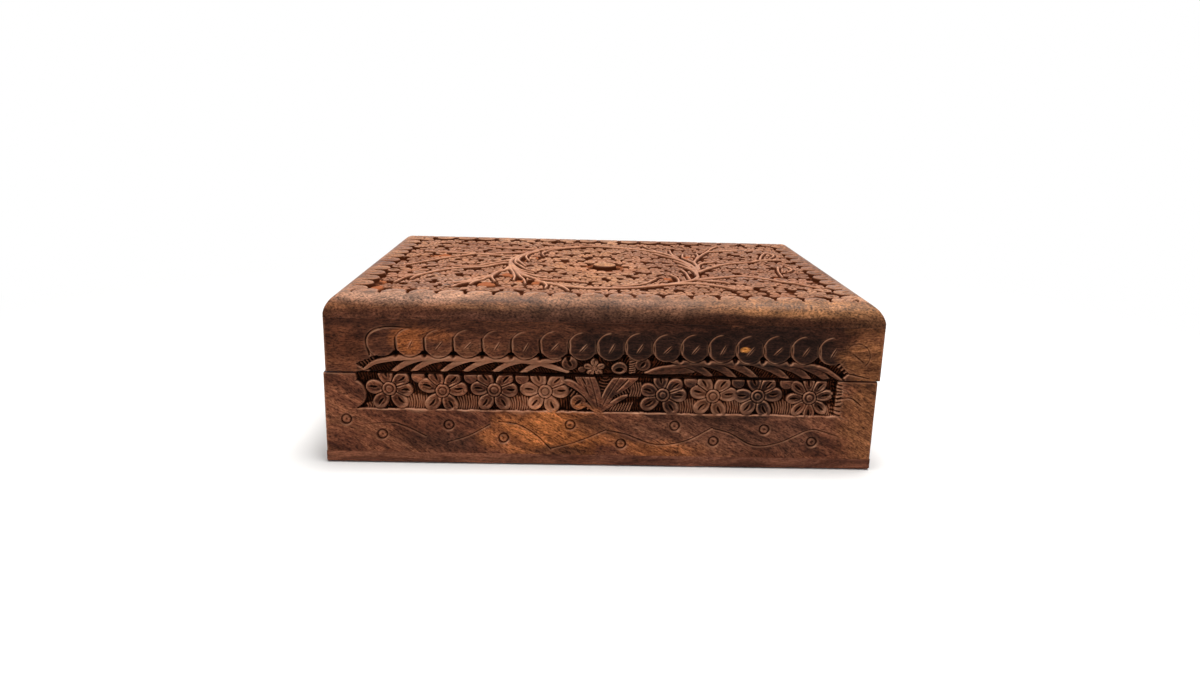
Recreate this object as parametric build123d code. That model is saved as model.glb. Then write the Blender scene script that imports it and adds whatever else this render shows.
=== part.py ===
"""Carved rosewood keepsake box with a hinged lid.

Frame: origin at the centre of the base's underside, +X right, +Y back, +Z up, millimetres.
The lid turns about the row of hinge knuckles at the back rim.
"""
from build123d import *
from math import radians, sqrt, tan
import os

# ---------------------------------------------------------------- driving dimensions
box_width = 203.2            # X, outside
box_depth = 152.4            # Y, outside
box_height = 63.5            # Z, outside, lid shut
rim_height = 34.3            # top of the base's rim
rim_gap = 0.3                # between the base's rim and the lid's rim
wall = 9.0                   # side boards of base and lid
bottom_thickness = 4.2
top_thickness = 8.5
lid_offset = 0.8             # the lid sits this far to the right of the base
lid_overhang_radius = 8.0    # roundover all round the lid's top board
arris_radius = 0.6           # broken corner edges
rim_chamfer = 0.6            # outer edge of both rims
foot_radius = 1.0            # lower edge of the bottom board

# hinges
hinge_length = 25.0
hinge_end_distance = 38.0    # box end to the middle of a hinge
hinge_inset = 2.0            # axis to the back face
knuckle_count = 5
knuckle_gap = 0.1
leaf_thickness = 1.0
leaf_width = 6.0             # axis to the leaf's free edge
pin_radius = 0.9
pin_clearance = 0.05         # radial, pin to knuckle
barrel_clearance = 0.15      # radial, knuckle to wood
leaf_barrel_gap = 0.25       # leaf edge to the other leaf's knuckles
mortise_clearance = 0.1      # round a leaf in its mortise
open_angle = 100.0           # lid's range
stop_margin = 1.0            # degrees left between the bevels when the lid is open

# screws and nails
screw_radius = 0.9
screw_head_radius = 1.7
screw_length = 7.0
screw_clearance = 0.03
screw_spacing = 15.0
screw_slot_width = 0.4
screw_slot_depth = 0.35
nail_radius = 0.7
nail_head_radius = 1.4
nail_head_thickness = 0.6
nail_length = 16.0
nail_clearance = 0.03
nail_end_distance = 22.0     # box corner to the first nail along a side
corner_pin_radius = 0.6
corner_pin_length = 18.0
corner_pin_depth = 3.0       # head of the pin below the board's face
corner_pin_edge = 7.0        # pin to the board's upper or lower edge

# carving, depths below the face
ground_depth = 2.0
line_depth = 0.4
line_width = 0.5
edge_margin = 12.6           # plain wood at each end of a carved band
petal_share = 0.29           # petal tip radius as a share of the flower's radius

# base band: a frieze of flowers above a plain band with a wave line
frieze_height = 13.4
flower_radius = 8.2
flower_petals = 6
flower_drop = 6.3            # flower centre below the rim
flower_pitch = 18.4
spray_half_width = 12.0      # leaf spray in the middle of the frieze
spray_leaves = 3             # on each side of the spray
spray_leaf_width = 2.2
spray_tip_drop = 1.0         # highest leaf tip below the rim
end_disc_radius = 5.0
wave_height = 8.0
wave_length = 42.0
ring_radius = 2.1
ring_pitch = 19.0

# lid band: a row of discs above a strip of leaves
disc_radius = 5.15
disc_pitch = 10.35
disc_rise = 11.6             # disc centre above the lid's rim
strip_height = 7.4
stem_width = 1.3
leaf_pitch = 9.5
bud_radius = 2.7
middle_flower_radius = 3.6

# lid top: a border of scales round a field of branches and flowers
border_width = 9.5           # box edge to the middle of the scales
scale_pitch = 10.4
scale_radius = 5.2
boss_radius = 5.3
boss_ring_radius = 9.6
branch_width = 2.6
field_flower_radius = 5.2
field_flower_pitch = 12.6
field_clearance = 1.0

# ---------------------------------------------------------------- derived places
half_width = box_width / 2
half_depth = box_depth / 2
lid_rim = rim_height + rim_gap
rail_top = box_height - top_thickness
axis_y = half_depth - hinge_inset
axis_z = rim_height + rim_gap / 2
barrel_radius = pin_radius + leaf_thickness
hinge_places = {"left": hinge_end_distance - half_width, "right": half_width - hinge_end_distance}
side_half_depth = half_depth - wall


# ---------------------------------------------------------------- shapes drawn flat
def bowed_line(first, last, bow):
    """An arc that stands off the straight line by bow, to the left."""
    if abs(bow) < 0.001:
        return Line(first, last)
    along = (last - first).normalized()
    across = Vector(-along.Y, along.X)
    return ThreePointArc(first, (first + last) / 2 + across * bow, last)


def blade(start, end, bow, width):
    """A leaf with pointed ends, bowed to the left of the line from start to end."""
    first = Vector(*start)
    last = Vector(*end)
    left = bowed_line(first, last, bow + width / 2)
    right = bowed_line(first, last, bow - width / 2)
    return make_face([left, right])


def branch(start, end, bow, width):
    """A stem with a round root and a pointed tip, bowed to the left on its way."""
    first = Vector(*start)
    last = Vector(*end)
    along = (last - first).normalized()
    half = Vector(-along.Y, along.X) * width / 2
    left = bowed_line(first + half, last, bow)
    right = bowed_line(first - half, last, bow)
    return Sketch() + make_face([left, right, Line(first + half, first - half)]) + Pos(first) * Circle(width / 2)


def petal(reach, tip_radius):
    """A teardrop from the origin to the given reach along X."""
    centre = reach - tip_radius
    touch_x = centre - tip_radius ** 2 / centre
    touch_y = tip_radius * sqrt(1 - (tip_radius / centre) ** 2)
    side = Line((0, 0), (touch_x, touch_y))
    tip = ThreePointArc((touch_x, touch_y), (reach, 0), (touch_x, -touch_y))
    back = Line((touch_x, -touch_y), (0, 0))
    return make_face([side, tip, back])


def rosette(x, y, radius, petals, turn=0.0):
    """A flower: petals round a centre disc."""
    shape = petal(radius, radius * petal_share)
    step = 360 / petals
    place = Pos(x, y)
    flower = [place * Rot(0, 0, turn + step * index) * shape for index in range(petals)]
    return flower + [place * Circle(radius * petal_share)]


def ring(x, y, radius):
    """A punched ring."""
    return Pos(x, y) * (Circle(radius) - Circle(radius - line_width))


def slit(x, y, length, angle):
    """A short cut with pointed ends."""
    half = length / 2
    return Pos(x, y) * Rot(0, 0, angle) * blade((-half, 0), (half, 0), 0, line_width)


def spread(half_length, pitch):
    """Even places between -half_length and half_length, close to the pitch."""
    count = max(1, int(2 * half_length / pitch + 0.5))
    step = 2 * half_length / count
    return [step * (index + 0.5) - half_length for index in range(count)]


def wave(half_length):
    """One thin line of linked arcs, and the rings punched in its hollows."""
    marks = []
    middle = bottom_thickness + (rim_height - frieze_height - bottom_thickness) / 2
    centres = spread(half_length, wave_length / 2)
    half_step = half_length / len(centres)
    for index, centre in enumerate(centres):
        side = 1 if index % 2 else -1
        crest = middle + side * wave_height / 2
        arc = ThreePointArc((centre - half_step, middle), (centre, crest), (centre + half_step, middle))
        marks.append(SlotArc(arc, line_width))
        marks.append(ring(centre, middle - side * ring_radius * 0.6, ring_radius))
    return marks


# ---------------------------------------------------------------- carved faces
def face_plane(side, x_shift=0.0):
    """Plane on an outside face, x along the face and y up."""
    planes = {
        "front": Plane((x_shift, -half_depth, 0), x_dir=(1, 0, 0), z_dir=(0, -1, 0)),
        "back": Plane((x_shift, half_depth, 0), x_dir=(-1, 0, 0), z_dir=(0, 1, 0)),
        "left": Plane((x_shift - half_width, 0, 0), x_dir=(0, -1, 0), z_dir=(-1, 0, 0)),
        "right": Plane((x_shift + half_width, 0, 0), x_dir=(0, 1, 0), z_dir=(1, 0, 0)),
    }
    return planes[side]


def sink(board, plane, flat, depth):
    """Cut a flat shape into a board's face."""
    return board - extrude(plane * flat, amount=-depth)


def frieze_relief(half_length):
    """What stands in the base's frieze: flowers, a leaf spray and a half disc at each end."""
    row = rim_height - flower_drop
    relief = []
    count = int((half_length - spray_half_width) / flower_pitch + 0.25)
    for index in range(count):
        place = spray_half_width + flower_pitch * (index + 0.5)
        for x in (-place, place):
            relief += rosette(x, row, flower_radius, flower_petals)
    foot = rim_height - frieze_height
    for lean in (-1, 1):
        for step in range(spray_leaves):
            tip_x = lean * spray_half_width * (1 - (step + 0.3) / spray_leaves)
            tip = (tip_x, rim_height - spray_tip_drop - step * line_width)
            relief.append(branch((lean * spray_leaf_width / 4, foot), tip, -lean * 1.6, spray_leaf_width))
        relief.append(Pos(lean * half_length, row) * Circle(end_disc_radius))
    return relief


def carve_base(board, side, half_length):
    """Wave line and rings; on the seen sides also the flower frieze under the rim."""
    plane = face_plane(side)
    if side != "back":
        ground = Pos(0, rim_height - frieze_height / 2 + ground_depth / 2)
        ground = ground * Rectangle(2 * half_length, frieze_height + ground_depth)
        board = sink(board, plane, ground - frieze_relief(half_length), ground_depth)
    return sink(board, plane, Sketch() + wave(half_length), line_depth)


def strip_relief(half_length):
    """What stands in the lid's strip: a flower, and on each side a bud, a stem and its leaves."""
    stem_end = half_length - 2 * stem_width
    reach = stem_end - spray_half_width
    leaves = max(2, int(reach / leaf_pitch))
    leaf_top = lid_rim + strip_height - 2 * stem_width
    relief = rosette(0, lid_rim + strip_height * 0.43, middle_flower_radius, 5, 90)
    for lean in (-1, 1):
        low = (lean * spray_half_width, lid_rim + stem_width)
        high = (lean * stem_end, lid_rim + stem_width * 1.5)
        relief.append(blade(low, high, lean * (strip_height - 3 * stem_width), stem_width))
        for index in range(leaves):
            foot_x = lean * (spray_half_width + reach * (index + 0.55) / leaves)
            tip = (foot_x - lean * leaf_pitch * 0.9, lid_rim - stem_width / 2)
            relief.append(blade((foot_x, leaf_top), tip, lean * stem_width, spray_leaf_width))
        bud = Pos(lean * (spray_half_width + 1), lid_rim + strip_height / 2)
        relief.append(bud * Circle(bud_radius))
    return relief


def carve_lid_rail(rail, side, half_length):
    """Row of slit discs; on the seen sides also a strip of leaves over the rim."""
    plane = face_plane(side, lid_offset)
    if side != "back":
        ground = Pos(0, lid_rim + strip_height / 2 - ground_depth / 2)
        ground = ground * Rectangle(2 * half_length, strip_height + ground_depth)
        rail = sink(rail, plane, ground - strip_relief(half_length), ground_depth)
    marks = []
    for x in spread(half_length - disc_radius, disc_pitch):
        marks.append(ring(x, lid_rim + disc_rise, disc_radius))
        marks.append(slit(x, lid_rim + disc_rise, disc_radius, 45))
    return sink(rail, plane, Sketch() + marks, line_depth)


def tree(field_x, field_y):
    """Branches of the left-hand tree; places are shares of the field's half sizes."""
    branches = [
        ((-0.42, -0.24), (-0.38, 0.44), -0.04, 1.2),
        ((-0.36, 0.36), (-0.86, 0.25), 0.04, 1.0),
        ((-0.60, 0.30), (-0.84, 0.02), 0.04, 0.7),
        ((-0.37, 0.34), (0.04, 0.76), 0.08, 1.2),
        ((-0.43, 0.06), (-0.72, -0.20), 0.03, 0.8),
        ((-0.55, -0.10), (-0.86, -0.62), -0.05, 1.0),
        ((-0.43, -0.22), (-0.66, -0.86), -0.04, 1.0),
        ((-0.42, -0.22), (-0.08, -0.78), -0.05, 1.1),
        ((-0.20, -0.68), (0.34, -0.76), -0.03, 0.9),
    ]
    shapes = []
    for start, end, bow, thick in branches:
        first = (start[0] * field_x, start[1] * field_y)
        last = (end[0] * field_x, end[1] * field_y)
        shapes.append(branch(first, last, bow * field_x, thick * branch_width))
    return shapes


def carve_top(board):
    """Scale border round a sunk field with a boss, two trees and small flowers."""
    field_x = half_width - border_width
    field_y = half_depth - border_width
    plane = Plane((lid_offset, 0, box_height), x_dir=(1, 0, 0), z_dir=(0, 0, 1))
    ground = Rectangle(2 * field_x, 2 * field_y)
    scales = []
    for x in spread(field_x, scale_pitch):
        scales += [Pos(x, lean * field_y) * Circle(scale_radius) for lean in (-1, 1)]
    for y in spread(field_y, scale_pitch):
        scales += [Pos(lean * field_x, y) * Circle(scale_radius) for lean in (-1, 1)]
    left_tree = tree(field_x, field_y)
    trees = left_tree + [Rot(0, 0, 180) * branch for branch in left_tree]
    wood = Sketch() + trees
    flowers = []
    reach_x = field_x - scale_radius - field_clearance
    reach_y = field_y - scale_radius - field_clearance
    for row, y in enumerate(spread(reach_y, field_flower_pitch)):
        for x in spread(reach_x, field_flower_pitch):
            place = Vector(x, y)
            near_boss = place.length < boss_ring_radius + field_flower_radius + field_clearance
            near_tree = wood.distance_to(place) < field_flower_radius * 0.55
            if not near_boss and not near_tree:
                flowers += rosette(x, y, field_flower_radius, 5 + row % 2, 18 * row)
    centre = rosette(0, 0, boss_ring_radius, 8) + [Circle(boss_radius)]
    board = sink(board, plane, ground - (scales + trees + flowers + centre), ground_depth)
    marks = [ring(0, 0, boss_radius)]
    for x in spread(field_x, scale_pitch):
        marks += [slit(x, lean * (field_y + 1), scale_radius, 60) for lean in (-1, 1)]
    for y in spread(field_y, scale_pitch):
        marks += [slit(lean * (field_x + 1), y, scale_radius, 30) for lean in (-1, 1)]
    return sink(board, plane, Sketch() + marks, line_depth)


# ---------------------------------------------------------------- boards
def slab(x_range, y_range, z_range):
    """A box between pairs of limits."""
    size = [high - low for low, high in (x_range, y_range, z_range)]
    middle = [(high + low) / 2 for low, high in (x_range, y_range, z_range)]
    return Pos(*middle) * Box(*size)


def upright_edges(board, side):
    """The two vertical outside corner edges of a front or back board."""
    return board.edges().filter_by(Axis.Z).group_by(Axis.Y)[side]


def break_rim(board, side, face, up, x_shift=0.0):
    """Chamfer the outer edge of a rim; up is +1 under the lid and -1 on the base."""
    corner = face_plane(side, x_shift).offset(rim_chamfer)
    profile = Polyline((0, 2 * rim_chamfer), (0, -rim_chamfer), (-3 * rim_chamfer, -rim_chamfer), close=True)
    length = box_width + box_depth
    across = Plane(corner.origin - corner.x_dir * length / 2, x_dir=corner.z_dir, z_dir=corner.x_dir)
    wedge = extrude(across * make_face(profile), amount=length)
    wedge = wedge if up > 0 else mirror(wedge, Plane.XY)
    return board - Pos(0, 0, face) * wedge


def hinge_bevel(x_low, x_high):
    """The V-shaped gutter behind the axis that lets the lid open and then stops it."""
    angle = radians((open_angle + stop_margin) / 2)
    reach = hinge_inset + wall
    profile = Polyline(
        (axis_y, axis_z),
        (axis_y + reach, axis_z + reach * tan(angle)),
        (axis_y + reach, axis_z - reach * tan(angle)),
        close=True,
    )
    face = Plane((x_low, 0, 0), x_dir=(0, 1, 0), z_dir=(1, 0, 0)) * make_face(profile)
    return extrude(face, amount=x_high - x_low)


def along_x(radius, length, x):
    """A cylinder on the hinge axis."""
    return Pos(x, axis_y, axis_z) * Rot(0, 90, 0) * Cylinder(radius, length)


def screw_places(x):
    """Screw positions in one leaf, x and y."""
    y = axis_y - (leaf_width + barrel_radius) / 2
    return [(x - screw_spacing / 2, y), (x + screw_spacing / 2, y)]


def cut_hinge_seats(rail, leaf_face, up):
    """Mortises, knuckle hollows and screw holes; up is +1 in the lid and -1 in the base."""
    for x in hinge_places.values():
        half = hinge_length / 2 + mortise_clearance
        seat_y = (axis_y - leaf_width - mortise_clearance, axis_y)
        seat_z = sorted((leaf_face - up * rim_gap, leaf_face + up * leaf_thickness))
        rail -= slab((x - half, x + half), seat_y, seat_z)
        rail -= along_x(barrel_radius + barrel_clearance, 2 * half + 4 * pin_radius, x)
        for screw_x, screw_y in screw_places(x):
            hole_length = screw_length + 4 * screw_clearance
            hole = Cylinder(screw_radius + screw_clearance, hole_length)
            rail -= Pos(screw_x, screw_y, leaf_face + up * hole_length / 2) * hole
    return rail


def base_boards():
    """Four boards on a full-size bottom board."""
    low = bottom_thickness
    rows = {"front": (-half_depth, wall - half_depth), "back": (half_depth - wall, half_depth)}
    boards = {}
    for side, y_range in rows.items():
        board = slab((-half_width, half_width), y_range, (low, rim_height))
        outer = 0 if side == "front" else -1
        board = fillet(upright_edges(board, outer), arris_radius)
        if side == "front":
            board = break_rim(board, side, rim_height, -1)
        board = carve_base(board, side, half_width - edge_margin)
        boards["base_" + side + "_board"] = board
    back = boards["base_back_board"]
    back -= hinge_bevel(-half_width, half_width)
    boards["base_back_board"] = cut_hinge_seats(back, rim_height, -1)
    sides = {"left": (-half_width, wall - half_width), "right": (half_width - wall, half_width)}
    for side, x_range in sides.items():
        board = slab(x_range, (-side_half_depth, side_half_depth), (low, rim_height))
        board = break_rim(board, side, rim_height, -1)
        board = carve_base(board, side, half_depth - edge_margin)
        boards["base_" + side + "_board"] = board
    bottom = slab((-half_width, half_width), (-half_depth, half_depth), (0, low))
    boards["base_bottom_board"] = fillet(bottom.edges().group_by(Axis.Z)[0], foot_radius)
    return boards


def lid_boards():
    """Four rails under a full-size top board."""
    left_face = lid_offset - half_width
    right_face = lid_offset + half_width
    rows = {"front": (-half_depth, wall - half_depth), "back": (half_depth - wall, half_depth)}
    boards = {}
    for side, y_range in rows.items():
        rail = slab((left_face, right_face), y_range, (lid_rim, rail_top))
        outer = 0 if side == "front" else -1
        rail = fillet(upright_edges(rail, outer), arris_radius)
        if side == "front":
            rail = break_rim(rail, side, lid_rim, 1, lid_offset)
        rail = carve_lid_rail(rail, side, half_width - edge_margin)
        boards["lid_" + side + "_rail"] = rail
    back = boards["lid_back_rail"]
    back -= hinge_bevel(left_face, right_face)
    boards["lid_back_rail"] = cut_hinge_seats(back, lid_rim, 1)
    sides = {"left": (left_face, left_face + wall), "right": (right_face - wall, right_face)}
    for side, x_range in sides.items():
        rail = slab(x_range, (-side_half_depth, side_half_depth), (lid_rim, rail_top))
        rail = break_rim(rail, side, lid_rim, 1, lid_offset)
        rail = carve_lid_rail(rail, side, half_depth - edge_margin)
        boards["lid_" + side + "_rail"] = rail
    top = slab((left_face, right_face), (-half_depth, half_depth), (rail_top, box_height))
    top = fillet(top.edges().filter_by(Axis.Z), arris_radius)
    top = fillet(top.edges().group_by(Axis.Z)[-1], lid_overhang_radius)
    boards["lid_top_board"] = carve_top(top)
    return boards


# ---------------------------------------------------------------- fixings
def hinge_leaf(x, up):
    """A brass leaf with its knuckles; up is +1 for the lid's leaf and -1 for the base's."""
    face = lid_rim if up > 0 else rim_height
    first = 1 if up > 0 else 0
    z_range = sorted((face, face + up * leaf_thickness))
    half = hinge_length / 2
    plate_edge = axis_y - barrel_radius - leaf_barrel_gap
    leaf = slab((x - half, x + half), (axis_y - leaf_width, plate_edge), z_range)
    step = hinge_length / knuckle_count
    knuckle_length = step - knuckle_gap
    for index in range(first, knuckle_count, 2):
        middle = x - half + step * (index + 0.5)
        leaf += along_x(barrel_radius, knuckle_length, middle)
        tongue = (middle - knuckle_length / 2, middle + knuckle_length / 2)
        leaf += slab(tongue, (plate_edge, axis_y), z_range)
    leaf -= along_x(pin_radius + pin_clearance, hinge_length + 2, x)
    for screw_x, screw_y in screw_places(x):
        leaf -= Pos(screw_x, screw_y, 0) * screw_body(face, up, screw_clearance)
    return leaf


def screw_body(face, up, grow=0.0):
    """A countersunk screw on the Z axis, its head flush with the leaf's face."""
    sink_depth = screw_head_radius - screw_radius
    radius = screw_radius + grow
    head_radius = screw_head_radius + grow
    profile = Polyline(
        (0, 0),
        (head_radius, 0),
        (radius, sink_depth),
        (radius, screw_length - radius),
        (0, screw_length),
        close=True,
    )
    body = revolve(Plane.XZ * make_face(profile), Axis.Z)
    return Pos(0, 0, face) * (body if up > 0 else Rot(180, 0, 0) * body)


def hinge_screws(x, up):
    """The two slotted screws of one leaf."""
    face = lid_rim if up > 0 else rim_height
    screws = []
    for index, (screw_x, screw_y) in enumerate(screw_places(x)):
        turn = 25 + 70 * index
        slot = Rot(0, 0, turn) * Box(4 * screw_radius, screw_slot_width, 2 * screw_slot_depth)
        screw = screw_body(face, up) - Pos(0, 0, face) * slot
        screws.append(Pos(screw_x, screw_y, 0) * screw)
    return screws


def hinge_pin(x):
    """The steel pin, a little longer than the knuckles, with rounded ends."""
    pin = along_x(pin_radius, hinge_length + pin_radius, x)
    return fillet(pin.edges().filter_by(GeomType.CIRCLE), pin_radius * 0.6)


def bottom_nail_places():
    """Round the bottom board, on the middle line of the walls."""
    line_x = half_width - wall / 2
    line_y = half_depth - wall / 2
    end_x = half_width - nail_end_distance
    places = [(x, lean * line_y) for x in (-end_x, 0, end_x) for lean in (-1, 1)]
    end_y = half_depth - nail_end_distance - wall
    return places + [(lean * line_x, y) for y in (-end_y, end_y) for lean in (-1, 1)]


def bottom_nail(grow=0.0):
    """A flat-headed nail driven up from below, its head flush."""
    shank = Cylinder(nail_radius + grow, nail_length + grow, align=(Align.CENTER, Align.CENTER, Align.MIN))
    head = Cylinder(
        nail_head_radius + grow,
        nail_head_thickness + grow,
        align=(Align.CENTER, Align.CENTER, Align.MIN),
    )
    return shank + head


def corner_pin(side, lean, x_shift, z, grow=0.0):
    """A headless pin through a front or back board into the end of a side board."""
    y_sign = -1 if side == "front" else 1
    length = corner_pin_length + 2 * grow
    middle_y = y_sign * (half_depth - corner_pin_depth - corner_pin_length / 2)
    x = x_shift + lean * (half_width - wall / 2)
    return Pos(x, middle_y, z) * Rot(90, 0, 0) * Cylinder(corner_pin_radius + grow, length)


def corner_pins(x_shift, levels, grow=0.0):
    """Every corner pin of the base or the lid, keyed by side."""
    pins = {}
    for side in ("front", "back"):
        pins[side] = [corner_pin(side, lean, x_shift, z, grow) for lean in (-1, 1) for z in levels]
    return pins


# ---------------------------------------------------------------- assembly
parts = base_boards()
for nail_x, nail_y in bottom_nail_places():
    for name in [key for key in parts if key.startswith("base_")]:
        parts[name] -= Pos(nail_x, nail_y, 0) * bottom_nail(nail_clearance)
parts.update(lid_boards())

base_levels = (bottom_thickness + corner_pin_edge, rim_height - corner_pin_edge)
lid_levels = (lid_rim + corner_pin_edge, rail_top - corner_pin_edge)
for group, x_shift, levels in (("base", 0.0, base_levels), ("lid", lid_offset, lid_levels)):
    ending = "_board" if group == "base" else "_rail"
    holes = corner_pins(x_shift, levels, nail_clearance)
    for end in ("front", "back"):
        for board in (end, "left", "right"):
            parts[group + "_" + board + ending] -= holes[end]
    pins = corner_pins(x_shift, levels)
    parts[group + "_corner_pins"] = Compound(children=pins["front"] + pins["back"])

nails = [Pos(x, y, 0) * bottom_nail() for x, y in bottom_nail_places()]
parts["bottom_board_nails"] = Compound(children=nails)

for side, x in hinge_places.items():
    parts[side + "_hinge_base_leaf"] = hinge_leaf(x, -1)
    parts[side + "_hinge_lid_leaf"] = hinge_leaf(x, 1)
    parts[side + "_hinge_pin"] = hinge_pin(x)
    parts[side + "_hinge_base_screws"] = Compound(children=hinge_screws(x, -1))
    parts[side + "_hinge_lid_screws"] = Compound(children=hinge_screws(x, 1))

os.makedirs("parts", exist_ok=True)
for name, part in parts.items():
    export_step(part, "parts/" + name + ".step")
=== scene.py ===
import math

import bpy
import numpy as np
from mathutils import Matrix, Vector


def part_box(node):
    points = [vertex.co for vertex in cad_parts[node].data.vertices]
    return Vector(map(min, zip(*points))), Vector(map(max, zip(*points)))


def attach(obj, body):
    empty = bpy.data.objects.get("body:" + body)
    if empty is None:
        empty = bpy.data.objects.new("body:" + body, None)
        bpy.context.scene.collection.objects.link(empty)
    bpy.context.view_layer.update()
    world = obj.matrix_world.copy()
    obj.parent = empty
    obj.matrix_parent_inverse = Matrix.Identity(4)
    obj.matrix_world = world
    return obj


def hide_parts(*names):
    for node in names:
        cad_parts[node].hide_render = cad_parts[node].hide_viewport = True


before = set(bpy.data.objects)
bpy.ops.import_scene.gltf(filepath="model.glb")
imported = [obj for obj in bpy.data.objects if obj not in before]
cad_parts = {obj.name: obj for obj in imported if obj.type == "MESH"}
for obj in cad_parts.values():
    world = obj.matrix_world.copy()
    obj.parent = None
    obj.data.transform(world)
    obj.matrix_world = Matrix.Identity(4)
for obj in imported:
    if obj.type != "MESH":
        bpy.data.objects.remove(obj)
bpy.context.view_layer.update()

# Carved rosewood keepsake box. Carving is drawn in millimetres on each board's own face, as heights
# above (+) or below (-) the plain face, and turned into metres when the mesh is made.
MM = 0.001
BASE_GRID = 0.185          # spacing of the front faces' points
LID_GRID = 0.165
SIDE_GRID = 0.30
TOP_GRID = 0.28
GROUND = 1.9               # depth of the sunk ground on the sides
FIELD_GROUND = 1.9         # depth of the sunk ground on the top
WALL_SLOPE = 3.2           # fall of a motif's side, mm per mm
MOAT_SLOPE = 4.0           # rise of the ground beside a cleared stem, mm per mm
ARRIS = 0.8                # rounding of the box's upright corners
RIM_ROUND = 0.45           # rounding of the two rims' outer edges
INNER_CHAMFER = 0.4        # inner edges of the boards
LID_SHIFT = 0.8            # the lid sits this far to the right of the base
TOP_ROUND = 8.0            # roundover of the lid's top board
SQUARE = 0.05              # an edge that meets another board stays square
SEAM_WEAR = 0.3            # the lid's rim is worn up by this much all round
LATTICE = 64               # cells of the noise before it repeats
FAR_AWAY = 99.0


# ------------------------------------------------------------------ numbers
def smooth(x):
    """Smooth step from 0 to 1."""
    x = np.clip(x, 0, 1)
    return x * x * (3 - 2 * x)


def value_noise(x, y, seed):
    """Smooth noise from -1 to 1; one lattice cell per unit."""
    lattice = np.random.default_rng(seed).uniform(-1, 1, (LATTICE, LATTICE))
    i = np.floor(x).astype(int)
    j = np.floor(y).astype(int)
    s = smooth(x - i)
    t = smooth(y - j)
    i0 = i % LATTICE
    i1 = (i + 1) % LATTICE
    low, high = (lattice[row % LATTICE, i0] * (1 - s) + lattice[row % LATTICE, i1] * s for row in (j, j + 1))
    return low * (1 - t) + high * t


def rough_noise(x, y, seed):
    """Three layers of smooth noise, each finer and weaker than the one before."""
    layers = [value_noise(x * 2 ** k, y * 2 ** k, seed + k) / 2 ** k for k in range(3)]
    return sum(layers) / 1.75


def blur(values, reach):
    """Repeated three-point average both ways, up to a reach in grid steps."""
    for _ in range(round(2 * reach * reach)):
        padded = np.pad(values, 1, mode="edge")
        values = (padded[:-2, 1:-1] + padded[2:, 1:-1] + 2 * values) / 4
        padded = np.pad(values, 1, mode="edge")
        values = (padded[1:-1, :-2] + padded[1:-1, 2:] + 2 * values) / 4
    return values


def edged_lines(low, high, low_round, high_round, step):
    """Grid lines from low to high, closer together inside each rounded edge."""
    turns = 1 - np.cos(np.linspace(0, math.pi / 2, 6)[:-1])
    start = low + low_round
    end = high - high_round
    middle = np.linspace(start, end, int((end - start) / step) + 1)
    return np.concatenate([low + low_round * turns, middle, (high - high_round * turns)[::-1]])


def edge_drop(distance, radius):
    """Fall of a quarter-round edge at a distance in from the edge."""
    inside = np.clip(radius - distance, 0, radius)
    return radius - np.sqrt(np.maximum(radius * radius - inside * inside, 0))


def off_segment(x, y, run_x, run_y):
    """Distance from the segment between (0, 0) and (run_x, run_y), and the share of the way along it."""
    share = np.clip((x * run_x + y * run_y) / (run_x * run_x + run_y * run_y + 1e-9), 0, 1)
    return np.hypot(x - run_x * share, y - run_y * share), share


def along_across(x, y, degrees):
    """Coordinates along and across a direction."""
    angle = math.radians(degrees)
    return x * math.cos(angle) + y * math.sin(angle), y * math.cos(angle) - x * math.sin(angle)


def curve_through(points, pieces):
    """A smooth line through given points; each point is (x, y, half width)."""
    p = np.array(points, float)
    p = np.vstack([2 * p[0] - p[1], p, 2 * p[-1] - p[-2]])
    line = []
    for before, here, after, beyond in zip(p, p[1:], p[2:], p[3:]):
        for t in np.arange(pieces) / pieces:
            b = after - before
            c = 2 * before - 5 * here + 4 * after - beyond
            d = 3 * here - before - 3 * after + beyond
            line.append((2 * here + b * t + c * t * t + d * t ** 3) / 2)
    return line + [p[-2]]


def border_of(grid):
    """What stands along a grid's outline, all the way round from its first corner."""
    return np.concatenate([grid[0, :-1], grid[:-1, -1], grid[-1, :0:-1], grid[:0:-1, 0]])


# ------------------------------------------------------------------ carving
# A flower's parts, as shares of its radius.
PETAL_MIDDLE = 0.60
PETAL_HALF = 0.40
SLIT_MIDDLE = 0.68
SLIT_HALF = 0.22
HEART = 0.27
RING_PUNCH = 1.75          # radius of the ring punch


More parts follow.
